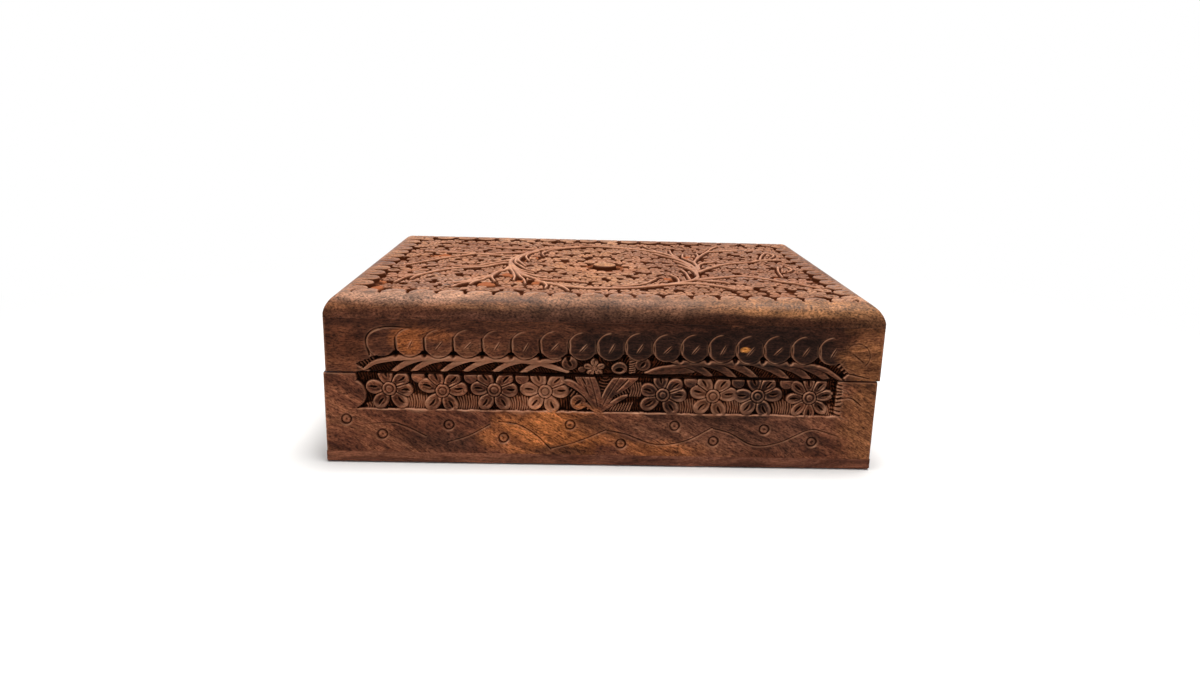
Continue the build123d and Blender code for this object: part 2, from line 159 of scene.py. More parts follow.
class Relief:
    """Heights over an uneven grid of lines u across and v up."""

    def __init__(self, u, v, seed):
        self.u = u
        self.v = v
        self.seed = seed
        self.U, self.V = np.meshgrid(u, v)
        self.height = np.zeros(self.U.shape)
        self.tint = np.zeros(self.U.shape)
        self.pale_cut_and_highlight = np.zeros(self.U.shape)
        self.lying = False

    def window(self, x, y, reach_x, reach_y):
        """The part of the grid round a point, with distances from that point."""
        i0, i1 = np.searchsorted(self.u, (x - reach_x, x + reach_x))
        j0, j1 = np.searchsorted(self.v, (y - reach_y, y + reach_y))
        cut = (slice(j0, j1), slice(i0, i1))
        return cut, self.U[cut] - x, self.V[cut] - y

    def stand(self, cut, gap, top, dome, half, dish=0.0):
        """A motif stands in the ground; gap is the distance to its outline, negative inside."""
        crown = dome * np.clip(1 + gap / half, 0, 1) ** 2.5
        crown = crown + dish * smooth((-gap / half - 0.12) / 0.4)
        level = top - crown - WALL_SLOPE * np.maximum(gap, 0)
        shows = level > self.height[cut]
        self.height[cut] = np.maximum(self.height[cut], level)
        return shows

    def sink(self, gap, depth, wall):
        """Lower everything inside a region; gap is negative inside."""
        self.height = np.minimum(self.height, -depth * smooth(-gap / wall))

    def near(self, x, y, radius):
        """The part of the grid round a disc, with distances from its middle."""
        cut, dx, dy = self.window(x, y, radius + 1, radius + 1)
        return cut, np.hypot(dx, dy)

    def disc(self, x, y, radius, top, dome, dish=0.0):
        cut, far = self.near(x, y, radius)
        self.stand(cut, far - radius, top, dome, radius, dish)

    def blade(self, start, end, bow, width, top, dome, vein=0.0):
        """A pointed leaf, bowed to the left on its way, with a vein cut along it."""
        (x0, y0), (x1, y1) = start, end
        length = math.hypot(x1 - x0, y1 - y0)
        reach_x = abs(x1 - x0) / 2 + abs(bow) + width
        reach_y = abs(y1 - y0) / 2 + abs(bow) + width
        cut, dx, dy = self.window((x0 + x1) / 2, (y0 + y1) / 2, reach_x, reach_y)
        ax = (x1 - x0) / length
        ay = (y1 - y0) / length
        along = (dx * ax + dy * ay) / length + 0.5
        across = dy * ax - dx * ay - bow * 4 * along * (1 - along)
        half = width / 2 * np.maximum(1 - (2 * along - 1) ** 2, 0) ** 0.8
        beyond = np.maximum(np.maximum(-along, along - 1), 0) * length
        self.stand(cut, np.abs(across) - half + beyond, top, dome, width / 2)
        if vein:
            keep = smooth((along - 0.12) / 0.1) * smooth((0.88 - along) / 0.1)
            self.height[cut] -= vein * keep * np.clip(1 - np.abs(across) / 0.35, 0, 1)

    def along(self, points, reach, pieces=6):
        """For each short piece of a line (x, y, half width): the distance from it and its half width."""
        line = curve_through(points, pieces)
        for a, b in zip(line[:-1], line[1:]):
            run_x = b[0] - a[0]
            run_y = b[1] - a[1]
            middle = ((a[0] + b[0]) / 2, (a[1] + b[1]) / 2)
            cut, dx, dy = self.window(*middle, abs(run_x) / 2 + reach, abs(run_y) / 2 + reach)
            far, share = off_segment(dx + run_x / 2, dy + run_y / 2, run_x, run_y)
            yield cut, far, a[2] + (b[2] - a[2]) * share

    def stem(self, points, top=-0.05, dome=0.5, tint=0.0, pale_cut_and_highlight=0.0):
        """A rounded stem along a line."""
        for cut, far, half in self.along(points, 2.6):
            gap = far - half
            shows = self.stand(cut, gap, top, dome, np.maximum(half, 0.3))
            if tint:
                self.tint[cut] = np.where(shows, tint * smooth((0.4 - gap) / 0.4), self.tint[cut])
                self.pale_cut_and_highlight[cut] = np.where(shows & (gap < 0), pale_cut_and_highlight, self.pale_cut_and_highlight[cut])

    def moat(self, points, room, depth):
        """Clear the ground on both sides of a stem, with a bank that rises away from it."""
        for cut, far, half in self.along(points, 4.0):
            bank = MOAT_SLOPE * np.maximum(far - half - room, 0) - depth
            self.height[cut] = np.minimum(self.height[cut], bank)

    def flower(self, x, y, radius, angles, top, tint=0.0, dome=0.12, dish=0.66, slit=0.8,
               slit_width=0.062, plump=1.0):
        """A dished petal with a gouged slit at each angle, round a ringed boss."""
        cut, dx, dy = self.window(x, y, radius + 1, radius + 1)
        if dx.size == 0:
            return
        wide = radius * (0.28 if len(angles) < 7 else 0.215) * plump
        slits = np.zeros(dx.shape)
        nearest = np.full(dx.shape, FAR_AWAY)
        second = np.full(dx.shape, FAR_AWAY)
        petal_rng = np.random.default_rng(int(abs(x * 97 + y * 31)) + self.seed)
        for angle in angles:
            size = petal_rng.uniform(0.94, 1.04)
            along, across = along_across(dx, dy, angle)
            t = (along - PETAL_MIDDLE * radius * size) / (PETAL_HALF * radius * size)
            half = wide * (1 + 0.16 * np.clip(t, -1, 1))
            gap = (np.sqrt(t * t + (across / half) ** 2) - 1) * wide
            self.stand(cut, gap, top, dome, wide, dish)
            second = np.minimum(second, np.maximum(gap, nearest))
            nearest = np.minimum(nearest, gap)
            s = (along - SLIT_MIDDLE * radius) / (SLIT_HALF * radius)
            bend = petal_rng.uniform(-0.05, 0.05) * radius
            off_slit = np.sqrt(s * s + ((across - bend * s * s) / (slit_width * radius)) ** 2)
            slits = np.maximum(slits, np.clip(1 - off_slit, 0, 1))
        between = np.clip(1 - (second - nearest) / 0.6, 0, 1) * smooth((0.9 - second) / 0.6)
        self.height[cut] -= slit * (smooth(slits * 1.8) + 1.2 * between)
        reach = np.hypot(dx, dy)
        boss = HEART * radius
        self.stand(cut, reach - boss, top + 0.05, 0.15, boss)
        groove = np.clip(1 - np.abs(reach - 0.62 * boss) / (0.2 * boss + 0.1), 0, 1)
        rim = np.clip(1 - np.abs(reach - 1.14 * boss) / (0.1 * boss + 0.14), 0, 1)
        self.height[cut] -= slit * (0.7 * groove + 0.8 * rim)
        self.tint[cut] += tint * smooth((radius - reach) / 1.5)

    def lens(self, x, y, length, width, angle, depth, pale_cut_and_highlight=0.0):
        """A gouged slit with pointed ends."""
        cut, dx, dy = self.window(x, y, length, length)
        along, across = along_across(dx, dy, angle)
        gouge = smooth(1.5 * (1 - np.sqrt((along / (length / 2)) ** 2 + (across / (width / 2)) ** 2)))
        self.height[cut] -= depth * gouge
        self.pale_cut_and_highlight[cut] = np.maximum(self.pale_cut_and_highlight[cut], pale_cut_and_highlight * gouge)

    def bud(self, x, y, radius, angle):
        """A round, dished bud with one slit."""
        self.disc(x, y, radius, -0.1, 0.15, 0.35)
        self.lens(x, y, radius * 1.3, radius * 0.6, angle, 0.8)

    def groove(self, points, width, depth, pale_cut_and_highlight=0.0):
        """A cut line along given points; its half widths scale its depth."""
        cutter = np.zeros(self.height.shape)
        for cut, far, power in self.along(points, width, 8):
            level = power * np.exp(-(far / (0.4 * width)) ** 2)
            cutter[cut] = np.maximum(cutter[cut], level)
        self.height -= depth * cutter
        self.pale_cut_and_highlight = np.maximum(self.pale_cut_and_highlight, pale_cut_and_highlight * cutter)

    def ring(self, x, y, radius, width, depth, start=0.0, sweep=360.0, pale_cut_and_highlight=0.0):
        """A punched or cut ring, or part of one that fades at both ends."""
        cut, dx, dy = self.window(x, y, radius + width, radius + width)
        line = np.exp(-((np.hypot(dx, dy) - radius) / (0.4 * width)) ** 2)
        if sweep < 360:
            angle = (np.degrees(np.arctan2(dy, dx)) - start) % 360
            line = line * smooth(angle / 18) * smooth((sweep - angle) / 18)
        self.height[cut] -= depth * line
        self.pale_cut_and_highlight[cut] = np.maximum(self.pale_cut_and_highlight[cut], pale_cut_and_highlight * line)

    def punch(self, x, y):
        """A ring punch: a ring round a shallow cup with a dimple in it."""
        cut, far = self.near(x, y, RING_PUNCH)
        self.height[cut] -= 0.14 * smooth((RING_PUNCH - far) / 0.6) + 0.4 * np.exp(-(far / 0.55) ** 2)
        self.ring(x, y, RING_PUNCH, 1.05, 0.7)

    def hatch(self, inside, angle, pitch, depth):
        """Short comb cuts in the ground, side by side in the direction of the angle."""
        sway = 0.6 * value_noise(self.U / 5, self.V / 4, self.seed + 40)
        along, _ = along_across(self.U, self.V, angle)
        cuts = np.abs(np.sin(math.pi * (along / pitch + sway)))
        strength = smooth(0.8 + value_noise(self.U / 1.6, self.V / 1.1, self.seed + 41))
        self.height += depth * inside * strength * (cuts - 0.5)

    def tool_marks(self, amount):
        """The slight unevenness of hand work all over a face."""
        self.height += amount * rough_noise(self.U / 9, self.V / 9, self.seed + 60)
        self.height += amount * 0.5 * value_noise(self.U / 2.2, self.V / 2.2, self.seed + 61)

    def region_gap(self, low_u, high_u, low_v, high_v, wobble=0.25):
        """Distance to a hand-cut rectangle's outline, negative inside."""
        shake_u = wobble * value_noise(self.V / 1.3, self.U / 9, self.seed + 50)
        shake_v = wobble * value_noise(self.U / 2.1, self.V / 9, self.seed + 51)
        beyond_u = np.maximum(low_u - self.U, self.U - high_u) + shake_u
        beyond_v = np.maximum(low_v - self.V, self.V - high_v) + shake_v
        return np.maximum(beyond_u, beyond_v)

    def beyond_line(self, start, end):
        """Distance to the right of the line from start to end, negative to its left."""
        (x0, y0), (x1, y1) = start, end
        length = math.hypot(x1 - x0, y1 - y0)
        return ((self.U - x0) * (y1 - y0) - (self.V - y0) * (x1 - x0)) / length

    def finish_face(self, end_round, low_round, high_round):
        """Round the face's outer edges and keep every point inside the plain face."""
        across = np.minimum(self.U - self.u[0], self.u[-1] - self.U)
        if end_round > SQUARE:
            self.height -= edge_drop(across, end_round)
        worn = 1 + 0.5 * value_noise(self.U / 11, self.V * 0, self.seed + 70)
        for distance, radius in ((self.V - self.v[0], low_round), (self.v[-1] - self.V, high_round)):
            if radius > SQUARE:
                self.height -= edge_drop(distance / worn, radius) * worn
        self.height = np.minimum(self.height, 0)


# ------------------------------------------------------------------ meshes
# Bands of the UV map: the face reaches up to UV_FACE, the others are given by start and height.
UV_FACE = 0.80
UV_STRIPS = (0.81, 0.08)
UV_BACK = (0.90, 0.095)

front_low, front_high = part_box("base_front_board")
HALF_X = front_high[0] / MM
HALF_Y = -front_low[1] / MM
WALL = (front_high[1] - front_low[1]) / MM
rim_z = front_high[2] / MM
floor_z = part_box("base_bottom_board")[1][2] / MM
lid_z, rail_z = (corner[2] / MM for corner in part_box("lid_front_rail"))
top_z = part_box("lid_top_board")[1][2] / MM


def carved_mesh(node, relief, face, loops, materials):
    """A closed board: the carved face, then loops of points round it down to a flat back."""
    index = np.arange(relief.height.size).reshape(relief.height.shape)
    quads = np.stack([index[:-1, :-1], index[:-1, 1:], index[1:, 1:], index[1:, :-1]], -1).reshape(-1, 4)
    ring = border_of(index)
    around = len(ring)
    faces = [quads]
    for number in range(len(loops)):
        after = index.size + number * around + np.arange(around)
        faces.append(np.stack([np.roll(ring, -1), ring, after, np.roll(after, -1)], -1))
        ring = after
    faces = np.vstack(faces)
    cap = ring[::-1]
    vertices = np.vstack([face.reshape(-1, 3), *loops]) * MM
    name = "carved_" + node.rsplit("_", 1)[0]
    body = node.split("_")[0]
    mesh = bpy.data.meshes.new(name)
    mesh.vertices.add(len(vertices))
    mesh.vertices.foreach_set("co", vertices.astype(np.float32).ravel())
    corners = np.concatenate([faces.ravel(), cap])
    mesh.loops.add(len(corners))
    mesh.loops.foreach_set("vertex_index", corners.astype(np.int32))
    numbers = np.arange(len(faces) + 1)
    mesh.polygons.add(len(numbers))
    mesh.polygons.foreach_set("loop_start", (numbers * 4).astype(np.int32))
    mesh.polygons.foreach_set("material_index", (numbers >= len(faces) - around).astype(np.int32))
    mesh.update(calc_edges=True)
    mesh.polygons.foreach_set("use_smooth", numbers < len(quads))
    lay_uv(mesh, relief, quads, around, len(loops))
    store(mesh, relief)
    for material in materials:
        mesh.materials.append(material)
    piece = bpy.data.objects.new(name, mesh)
    bpy.context.scene.collection.objects.link(piece)
    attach(piece, body)
    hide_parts(node)


def lay_uv(mesh, relief, quads, around, loop_count):
    """Face on most of the map, edge strips above it and the flat back in the top band."""
    face_u = (relief.U - relief.u[0]) / (relief.u[-1] - relief.u[0])
    face_v = (relief.V - relief.v[0]) / (relief.v[-1] - relief.v[0]) * UV_FACE
    corners = quads.ravel()
    blocks = [np.stack([face_u.ravel()[corners], face_v.ravel()[corners]], -1)]
    start = np.arange(around) / around
    end = (np.arange(around) + 1) / around
    across = np.stack([end, start, start, end], -1)
    band = UV_STRIPS[1] / loop_count
    for loop in range(loop_count):
        near = np.full(around, UV_STRIPS[0] + band * loop)
        far = near + band * 0.9
        blocks.append(np.stack([across, np.stack([near, near, far, far], -1)], -1).reshape(-1, 2))
    back = np.stack([border_of(face_u), UV_BACK[0] + border_of(face_v) / UV_FACE * UV_BACK[1]], -1)
    blocks.append(back[::-1])
    layer = mesh.uv_layers.new(name="OFBake")
    layer.uv.foreach_set("vector", np.vstack(blocks).astype(np.float32).ravel())


def store(mesh, relief):
    """Keep, for the material, how sunk each point is, its painted shade, its edge wear and painted highlight,
    its tint, and its pale cut lines and painted highlight.
    """
    height = relief.height
    middle = len(relief.u) // 2
    step = relief.u[middle + 1] - relief.u[middle]
    close, local, wide, slight = (blur(height, reach / step) for reach in (0.26, 0.52, 1.15, 0.16))
    # How sunk each point is; the material darkens it as stain and painted shade.
    sunk = smooth((-height - 0.4) / 1.1)
    # Painted shade: darker where the blurred surface stands above the point, as in crevices.
    painted_shade = np.clip((local - height) * 3.0, 0, 1) + np.clip((wide - height) * 0.7, 0, 0.6)
    slope_v, slope_u = np.gradient(slight, relief.v, relief.u)
    # rise grows where a slope faces up and to the left; crests and walls facing that way get painted
    # highlight.
    rise = slope_u * 0.5 - slope_v * 0.85
    lit = smooth((rise - 0.35) / 1.0) * smooth((height + 1.0) / 0.6)
    crest = np.clip((height - close) * 8.0, 0, 1) * np.clip(0.25 + 0.5 * rise, 0.1, 1)
    # Edge wear and painted highlight together: crests, and walls that face the light.
    edge_wear_and_highlight = np.maximum(crest, lit)
    # Painted shade is held back on pale lines and where painted highlight falls.
    painted_shade = painted_shade * (1 - relief.pale_cut_and_highlight) * (1 - 0.8 * lit)
    if relief.lying:
        bare = np.clip(relief.tint - 0.5, 0, 0.5) * 2
        steep = np.hypot(slope_u, slope_v)
        sunk = np.maximum(sunk, bare)
        # On the top, crests get wear and painted highlight whichever way they face.
        edge_wear_and_highlight = np.clip((height - close) * 6.0, 0, 0.7)
        # On the top, steep motif walls get painted shade as well, less in the bare pits.
        painted_shade = np.maximum(0.8 * painted_shade, smooth((steep - 0.4) / 1.1)) * (1 - 0.8 * bare)
    keys = {"sunk": sunk, "painted_shade": painted_shade, "edge_wear_and_highlight": edge_wear_and_highlight, "tint": relief.tint, "pale_cut_and_highlight": relief.pale_cut_and_highlight}
    for name, values in keys.items():
        full = np.zeros(len(mesh.vertices), np.float32)
        full[: values.size] = np.clip(values, 0, 1).ravel()
        mesh.attributes.new(name, "FLOAT", "POINT").data.foreach_set("value", full)


def rim_wear(across):
    """How much of the lid's front rim is worn away along its length."""
    hollows = 0.75 * np.exp(-((across - 14) / 28) ** 2) + 0.45 * np.exp(-((across + 45) / 32) ** 2)
    ripple = 0.07 * (1 + value_noise(across / 5, across * 0, 31))
    return SEAM_WEAR + hollows + ripple * np.clip(1.4 - np.abs(across) / 72, 0, 1)


def side_wear(across):
    return SEAM_WEAR * (1 + 0.3 * value_noise(across / 9, across * 0, 33))


def upright_board(node, spacing, seed, carve, materials):
    """Carve and close a board that stands on the side of the body that its node names."""
    body, side, _ = node.split("_")
    outward, along, reach, half_length, worn = {
        "front": ((0, -1), (1, 0), HALF_Y, HALF_X, rim_wear),
        "left": ((-1, 0), (0, -1), HALF_X, HALF_Y - WALL, side_wear),
        "right": ((1, 0), (0, 1), HALF_X, HALF_Y - WALL, side_wear),
    }[side]
    low_z, high_z, centre_x = (floor_z, rim_z, 0.0) if body == "base" else (lid_z, rail_z, LID_SHIFT)
    end_round = ARRIS if side == "front" else SQUARE
    low_round, high_round = (SQUARE, RIM_ROUND) if body == "base" else (RIM_ROUND, SQUARE)
    u = edged_lines(-half_length, half_length, end_round, end_round, spacing)
    v = edged_lines(low_z, high_z, low_round, high_round, spacing)
    relief = Relief(u, v, seed)
    carve(relief)
    relief.tool_marks(0.05)
    relief.finish_face(end_round, low_round, high_round)

    def place(across, up, depth):
        if body == "lid":
            up = up + worn(across) * np.clip(1 - (up - low_z) / 5, 0, 1)
        x = centre_x + across * along[0] + (reach + depth) * outward[0]
        y = across * along[1] + (reach + depth) * outward[1]
        return np.stack([x, y, up], -1)

    border_u, border_v = border_of(relief.U), border_of(relief.V)
    middle = (low_z + high_z) / 2

    def loop(depth, inset):
        """The board's outline at a depth behind the plain face, drawn in by the inset."""
        shrink_v = 1 - 2 * inset / (high_z - low_z)
        up = middle + (border_v - middle) * shrink_v
        return place(border_u * (1 - inset / half_length), up, np.full(len(border_u), -depth))

    # The first loop is just behind the carved outline, so that the rim keeps the plain wood's colour.
    loops = [place(border_u, border_v, border_of(relief.height) - 0.25),
             loop(WALL - INNER_CHAMFER, 0), loop(WALL, INNER_CHAMFER)]
    carved_mesh(node, relief, place(relief.U, relief.V, relief.height), loops, materials)


# ------------------------------------------------------------------ sides of the base
LEDGE = rim_z - 13.4       # lower edge of the flower frieze
END_MARGIN = 12.6          # plain wood at the ends of a short side, in from the box's corner
FLOWER_RADIUS = 8.7
BUD_RADIUS = 2.7

FRONT_FLOWERS = [
    (-77.9, 28.6, (-3, 38, 104, 174, 236, 311)),
    (-58.6, 28.1, (7, 47, 115, 161, 232, 300)),
    (-39.7, 28.8, (0, 46, 128, 175, 237, 304)),
    (-21.1, 28.6, (2, 44, 117, 173, 230, 295)),
    (22.2, 28.0, (0, 40, 99, 162, 214, 304)),
    (40.8, 27.9, (7, 53, 124, 165, 225, 294)),
    (57.4, 28.2, (6, 50, 105, 180, 232, 296)),
    (76.7, 27.9, (10, 52, 95, 140, 184, 228, 272, 318)),
]
FRONT_RINGS = [(-93.9, 16.7), (-80.9, 11.1), (-56.4, 15.1), (-36.3, 10.3), (-11.7, 15.9),
               (7.3, 8.7), (27.1, 16.1), (41.9, 10.3), (60.7, 15.3), (78.9, 10.7)]
FRONT_WAVE = [
    [(-89, 14.6, 0.2), (-84, 15.3, 0.4), (-77, 15.7, 0.8), (-71, 13.8, 1.0), (-64.8, 10.6, 1.0)],
    [(-57, 8.4, 0.6), (-49, 11.2, 0.8), (-41.3, 15.6, 0.9)],
    [(-38, 16.8, 0.6), (-31, 15.8, 1.0), (-24, 11.5, 1.0), (-18.7, 6.2, 1.0)],
    [(-18.2, 6.6, 0.8), (-9, 9.4, 0.8), (1.6, 14.1, 0.9)],
    [(1.3, 14.0, 0.9), (9, 12.6, 0.9), (20, 8.8, 0.9), (31, 10.2, 0.9), (41.3, 15.8, 1.0)],
    [(40.8, 15.6, 1.0), (48, 13.6, 1.0), (57.3, 8.9, 0.9), (67, 10.4, 0.9), (77.3, 15.4, 1.0),
     (83, 14.9, 0.8), (89.5, 12.7, 0.5)],
]


def turned(petals, turn):
    """Evenly spaced petal angles, in degrees."""
    return [turn + 360 * k / petals for k in range(petals)]


def tooth(relief, start, end, top, start_half=0.24, end_half=0.2):
    """One short, thin ridge of a comb."""
    relief.stem([(*start, start_half), (*end, end_half)], top, 0.2)


def lotus(relief, x, foot, top):
    """The spray of broad leaves in the middle of a frieze, its foot at x on the ledge."""
    relief.blade((x + 0.4, foot - 0.8), (x - 4.8, top + 3.6), -0.5, 4.2, -0.1, 0.15, 0.4)
    relief.blade((x - 2.6, foot + 4.6), (x - 9.2, top + 3.4), -0.3, 3.4, -0.45, 0.15, 0.3)
    relief.blade((x + 0.2, foot - 0.8), (x + 10.2, top + 4.0), 0.7, 3.8, -0.1, 0.15, 0.4)
    relief.blade((x + 4.4, foot + 6.4), (x + 16.0, top + 2.8), 0.4, 3.8, -0.1, 0.15)
    relief.groove([(x + 6.6, top - 5.0, 0.5), (x + 8.6, top - 2.9, 1), (x + 10.6, top - 0.6, 1)], 0.6, 1.0)
    relief.lens(x - 5.6, top - 1.4, 4.6, 0.9, 118, 0.6)
    relief.stem([(x - 13.4, top - 1.5, 0.5), (x - 10.4, top - 2.4, 1.1), (x - 6.6, top - 4.8, 1.0),
                 (x - 3.2, top - 8.6, 0.8), (x - 0.6, foot + 0.4, 0.5)], -0.05, 0.3)
    relief.stem([(x + 0.8, foot + 0.2, 0.5), (x + 4.6, foot + 3.2, 0.75), (x + 8.5, foot + 5.7, 0.75),
                 (x + 10.4, foot + 6.6, 0.4)], -0.1, 0.3)
    for step in range(6):
        reach = 1.6 + 1.15 * step
        relief.stem([(x + 2.4 + reach * math.sin(t), top + 1.4 - reach * math.cos(t), 0.2)
                     for t in (-0.6, -0.3, 0, 0.3, 0.6)], -0.9, 0.2)
    for step in range(9):
        left = x - 11.0 + 1.05 * step
        high = top - 4.2 - 0.78 * step
        rise = 0.4 * step
        tooth(relief, (left, high), (left - 1.3, high - 1.9), -0.6, 0.26)
        tooth(relief, (x + 4.4 + step, foot + 7.0 + rise), (x + 5.2 + step, foot + 5.4 + rise), -0.6)
        tooth(relief, (x + 3.4 + step, foot + 0.6), (x + 4.6 + step, foot + 2.6 + 0.15 * step), -0.7)
    for step in range(5):
        right = x + 11.6 + 0.9 * step
        relief.stem([(right, foot + 6.4, 0.24), (right + 0.6, foot + 9.0, 0.26),
                     (right + 0.1, foot + 11.4, 0.2)], -0.5, 0.2)
    relief.stem([(x - 1.2, foot + 0.5, 0.4), (x - 3.4, foot + 2.2, 0.6), (x - 5.4, foot + 3.6, 0.5)],
                -0.1, 0.3)
    relief.bud(x - 7.4, foot + 3.7, BUD_RADIUS, 40)


def comb(relief, x, count, high, tint):
    """A fan of upright ridges on the ledge that fills the ground between two flowers."""
    pitch = 0.86
    for step in range(count):
        away = step - (count - 1) / 2
        foot_x = x + pitch * away
        rise = high - 0.05 * away * away + 0.3 * math.sin(2.4 * step + x)
        bow = 0.35 + 0.1 * math.sin(5 * step + x)
        relief.stem([(foot_x, LEDGE + 0.1, 0.24), (foot_x + bow, LEDGE + rise / 2, 0.24),
                     (foot_x + 0.1 * away, LEDGE + rise, 0.24)], -0.75, 0.2)
    cut, dx, dy = relief.window(x, LEDGE + high / 2, count * pitch, high)
    relief.tint[cut] += tint * smooth(1.6 - np.hypot(dx / (count * 0.45), dy / (high * 0.55)))


def frieze(relief, low_u, high_u, flowers, spray_x):
    """Sunk, combed ground with flowers and a lotus spray, open towards the rim."""
    gap = relief.region_gap(low_u, high_u, LEDGE, rim_z + 3)
    relief.sink(gap, GROUND, 0.45)
    relief.hatch(smooth(-gap / 0.8), 8, 1.0, 1.0)
    relief.disc(low_u - 2.0, rim_z - 7.9, 5.4, 0.0, 0.05)
    middles = [(a[0] + b[0]) / 2 for a, b in zip(flowers[:-1], flowers[1:]) if b[0] - a[0] < 25]
    for k, x in enumerate(middles):
        comb(relief, x + 0.4, 10, 5.4, 0.9 if k in (0, 2) else 0.35)
        relief.disc(x + 0.8, rim_z - 0.9, 2.3, -0.25, 0.4)
    comb(relief, flowers[-1][0] + 8.2, 6, 4.0, 0.7)
    comb(relief, flowers[0][0] - 6.4, 5, 2.0, 0.3)
    lotus(relief, spray_x, LEDGE, rim_z)
    glowing = {3: 0.6, 5: 0.3}
    for k, (x, y, angles) in enumerate(flowers):
        relief.flower(x, y, FLOWER_RADIUS, angles, -0.1, glowing.get(k, 0.0))
    for step in range(9):
        y = LEDGE + 0.9 + step * 1.45
        lean = 1.2 * math.cos(step * 0.8)
        relief.groove([(high_u - 1.8, y + lean * 0.3, 1), (high_u + 1.6, y - lean * 0.5, 0.8)], 0.8, 1.2)


def carve_base_front(relief):
    frieze(relief, -90.0, 86.8, FRONT_FLOWERS, -1.5)
    for wave_line in FRONT_WAVE:
        relief.groove(wave_line, 0.64, 0.55)
    for x, y in FRONT_RINGS:
        relief.punch(x, y)
    relief.groove([(87.2, 27.6, 1), (92.0, 28.2, 0.9), (96.0, 25.4, 0.7)], 0.7, 0.7)
    relief.groove([(86.5, 21.4, 0.8), (92, 19.3, 0.4)], 0.6, 0.5, 0.4)
    relief.groove([(88.2, 31.6, 1), (91.0, 30.6, 0.5)], 0.6, 0.5, 0.4)


def carve_base_side(relief):
    """The same carving, laid out over the shorter side."""
    end = HALF_Y - END_MARGIN
    places = [14 + 18.2 * (k + 0.45) for k in range(3)]
    flowers = [(-x, rim_z - 6.2 + 0.3 * math.sin(x), turned(6, 4 + 3 * math.sin(x))) for x in places[::-1]]
    flowers += [(x, rim_z - 6.3 + 0.3 * math.cos(x), turned(6, 2 + 4 * math.cos(x))) for x in places]
    frieze(relief, -end - 1, end + 0.5, flowers, -0.5)
    middle = (LEDGE + floor_z) / 2 + 0.8
    for k in range(6):
        start = -end + 2 + k * 20.5
        side = 1 if k % 2 else -1
        arc = [(start + t * 21, middle + side * 4.2 * math.sin(math.pi * t), 0.8) for t in (0, 0.3, 0.6, 1)]
        relief.groove(arc, 0.55, 0.5)
        relief.punch(start + 10.5, middle - side * 1.2 + 0.6 * math.sin(5 * k))


# ------------------------------------------------------------------ sides of the lid
FIRST_DISC = -81.2
FRONT_DISCS = 17
DISC_PITCH = 10.27
DISC_RADIUS = 5.2
DISC_Z = lid_z + 11.4
STRIP_TOP = lid_z + 8.4    # upper edge of the sunk strip below the discs
LEFT_BRANCH = [(-87.4, 35.6, 0.45), (-84.2, 38.1, 0.75), (-80.2, 39.4, 0.9), (-74, 40.4, 1.0),
               (-64, 40.4, 1.0), (-45, 40.4, 0.95), (-33, 40.4, 1.1), (-25.6, 39.6, 1.1),
               (-20.4, 38.0, 1.0), (-13.8, 35.6, 0.6)]
RIGHT_BRANCH = [(14.8, 35.6, 0.5), (20.3, 38.0, 0.7), (29.0, 39.6, 0.8), (36.8, 40.2, 0.9), (49, 41.0, 0.9),
                (58, 40.8, 0.95), (68, 40.5, 0.9), (75.4, 40.1, 0.85), (81.0, 38.6, 0.8), (85.6, 35.6, 0.6),
                (87.4, 34.3, 0.4)]
# Straight cuts that take the corners off the strip, each from its start to its end.
STRIP_CORNERS = [((-84.6, 40.8), (-90.8, 38.2)), ((-90.8, 38.0), (-85.2, 34.4)),
                 ((90.0, 37.4), (85.0, 42.8)), ((87.2, 34.4), (89.8, 37.4))]


def disc_row(relief, places):
    """A row of touching discs, each outlined and slit, with a crevice where two meet."""
    level = [DISC_Z + 0.15 * math.sin(2.3 * k) for k in range(len(places))]
    for x, y in zip(places, level):
        relief.disc(x, y, DISC_RADIUS - 0.1, 0.0, 0.1)
    for k, (x, y) in enumerate(zip(places, level)):
        turn = 54 + 9 * math.sin(1.7 * k)
        clear = smooth((k - 3) / 6)
        relief.ring(x, y, DISC_RADIUS, 0.5, 0.06)
        relief.ring(x, y, DISC_RADIUS + 0.3, 0.6, 0.3 - 0.2 * clear, 95, 75)
        # A pale line round each disc's left side: a cut, with painted highlight where light catches it.
        relief.ring(x, y, DISC_RADIUS, 0.38, 0.05, 85, 195, 0.6 + 0.1 * clear)
        relief.ring(x, y, DISC_RADIUS + 0.1, 0.8, 0.5 - 0.3 * clear, 195, 140)
        if k:
            relief.lens(x + 0.35, y - 0.6, 5.0, 0.55, turn, 0.3)
            # A shallow pale slit beside the dark one: painted highlight on its lit edge.
            relief.lens(x, y - 0.4, 5.2, 0.5, turn, 0.15, 0.7)
    for k, (left, right) in enumerate(zip(places[:-1], places[1:])):
        x = (left + right) / 2
        deep = 1.0 if k < 7 else 0.45
        relief.lens(x, DISC_Z - 0.6, 7.6, 1.2, 92 + 4 * math.sin(3 * k), 1.3 * deep)
        relief.lens(x - 0.1, DISC_Z - 4.0, 4.2, 2.6, 90, 1.4)


def strands(relief, feet, lean, girth=1.0, tint=0.0):
    """Rope-like leaves that rise from the rim and run into the stem above them."""
    for k, x in enumerate(feet):
        reach = 14.0 + 1.5 * math.sin(2 * k)
        relief.stem([(x - lean * 1.2, lid_z - 0.6, 0.55 * girth), (x + lean * 2.6, lid_z + 2.6, 0.85 * girth),
                     (x + lean * 7.0, lid_z + 4.9, 0.95 * girth), (x + lean * reach, lid_z + 6.3, 0.5)],
                    -0.15, 0.35, tint)


def trim_strip(relief, low_u, high_u):
    """Cut back whatever runs down to the rim."""
    edge = relief.region_gap(low_u, high_u, lid_z - 3, lid_z + 0.5)
    relief.sink(edge, GROUND - 0.3, 0.3)


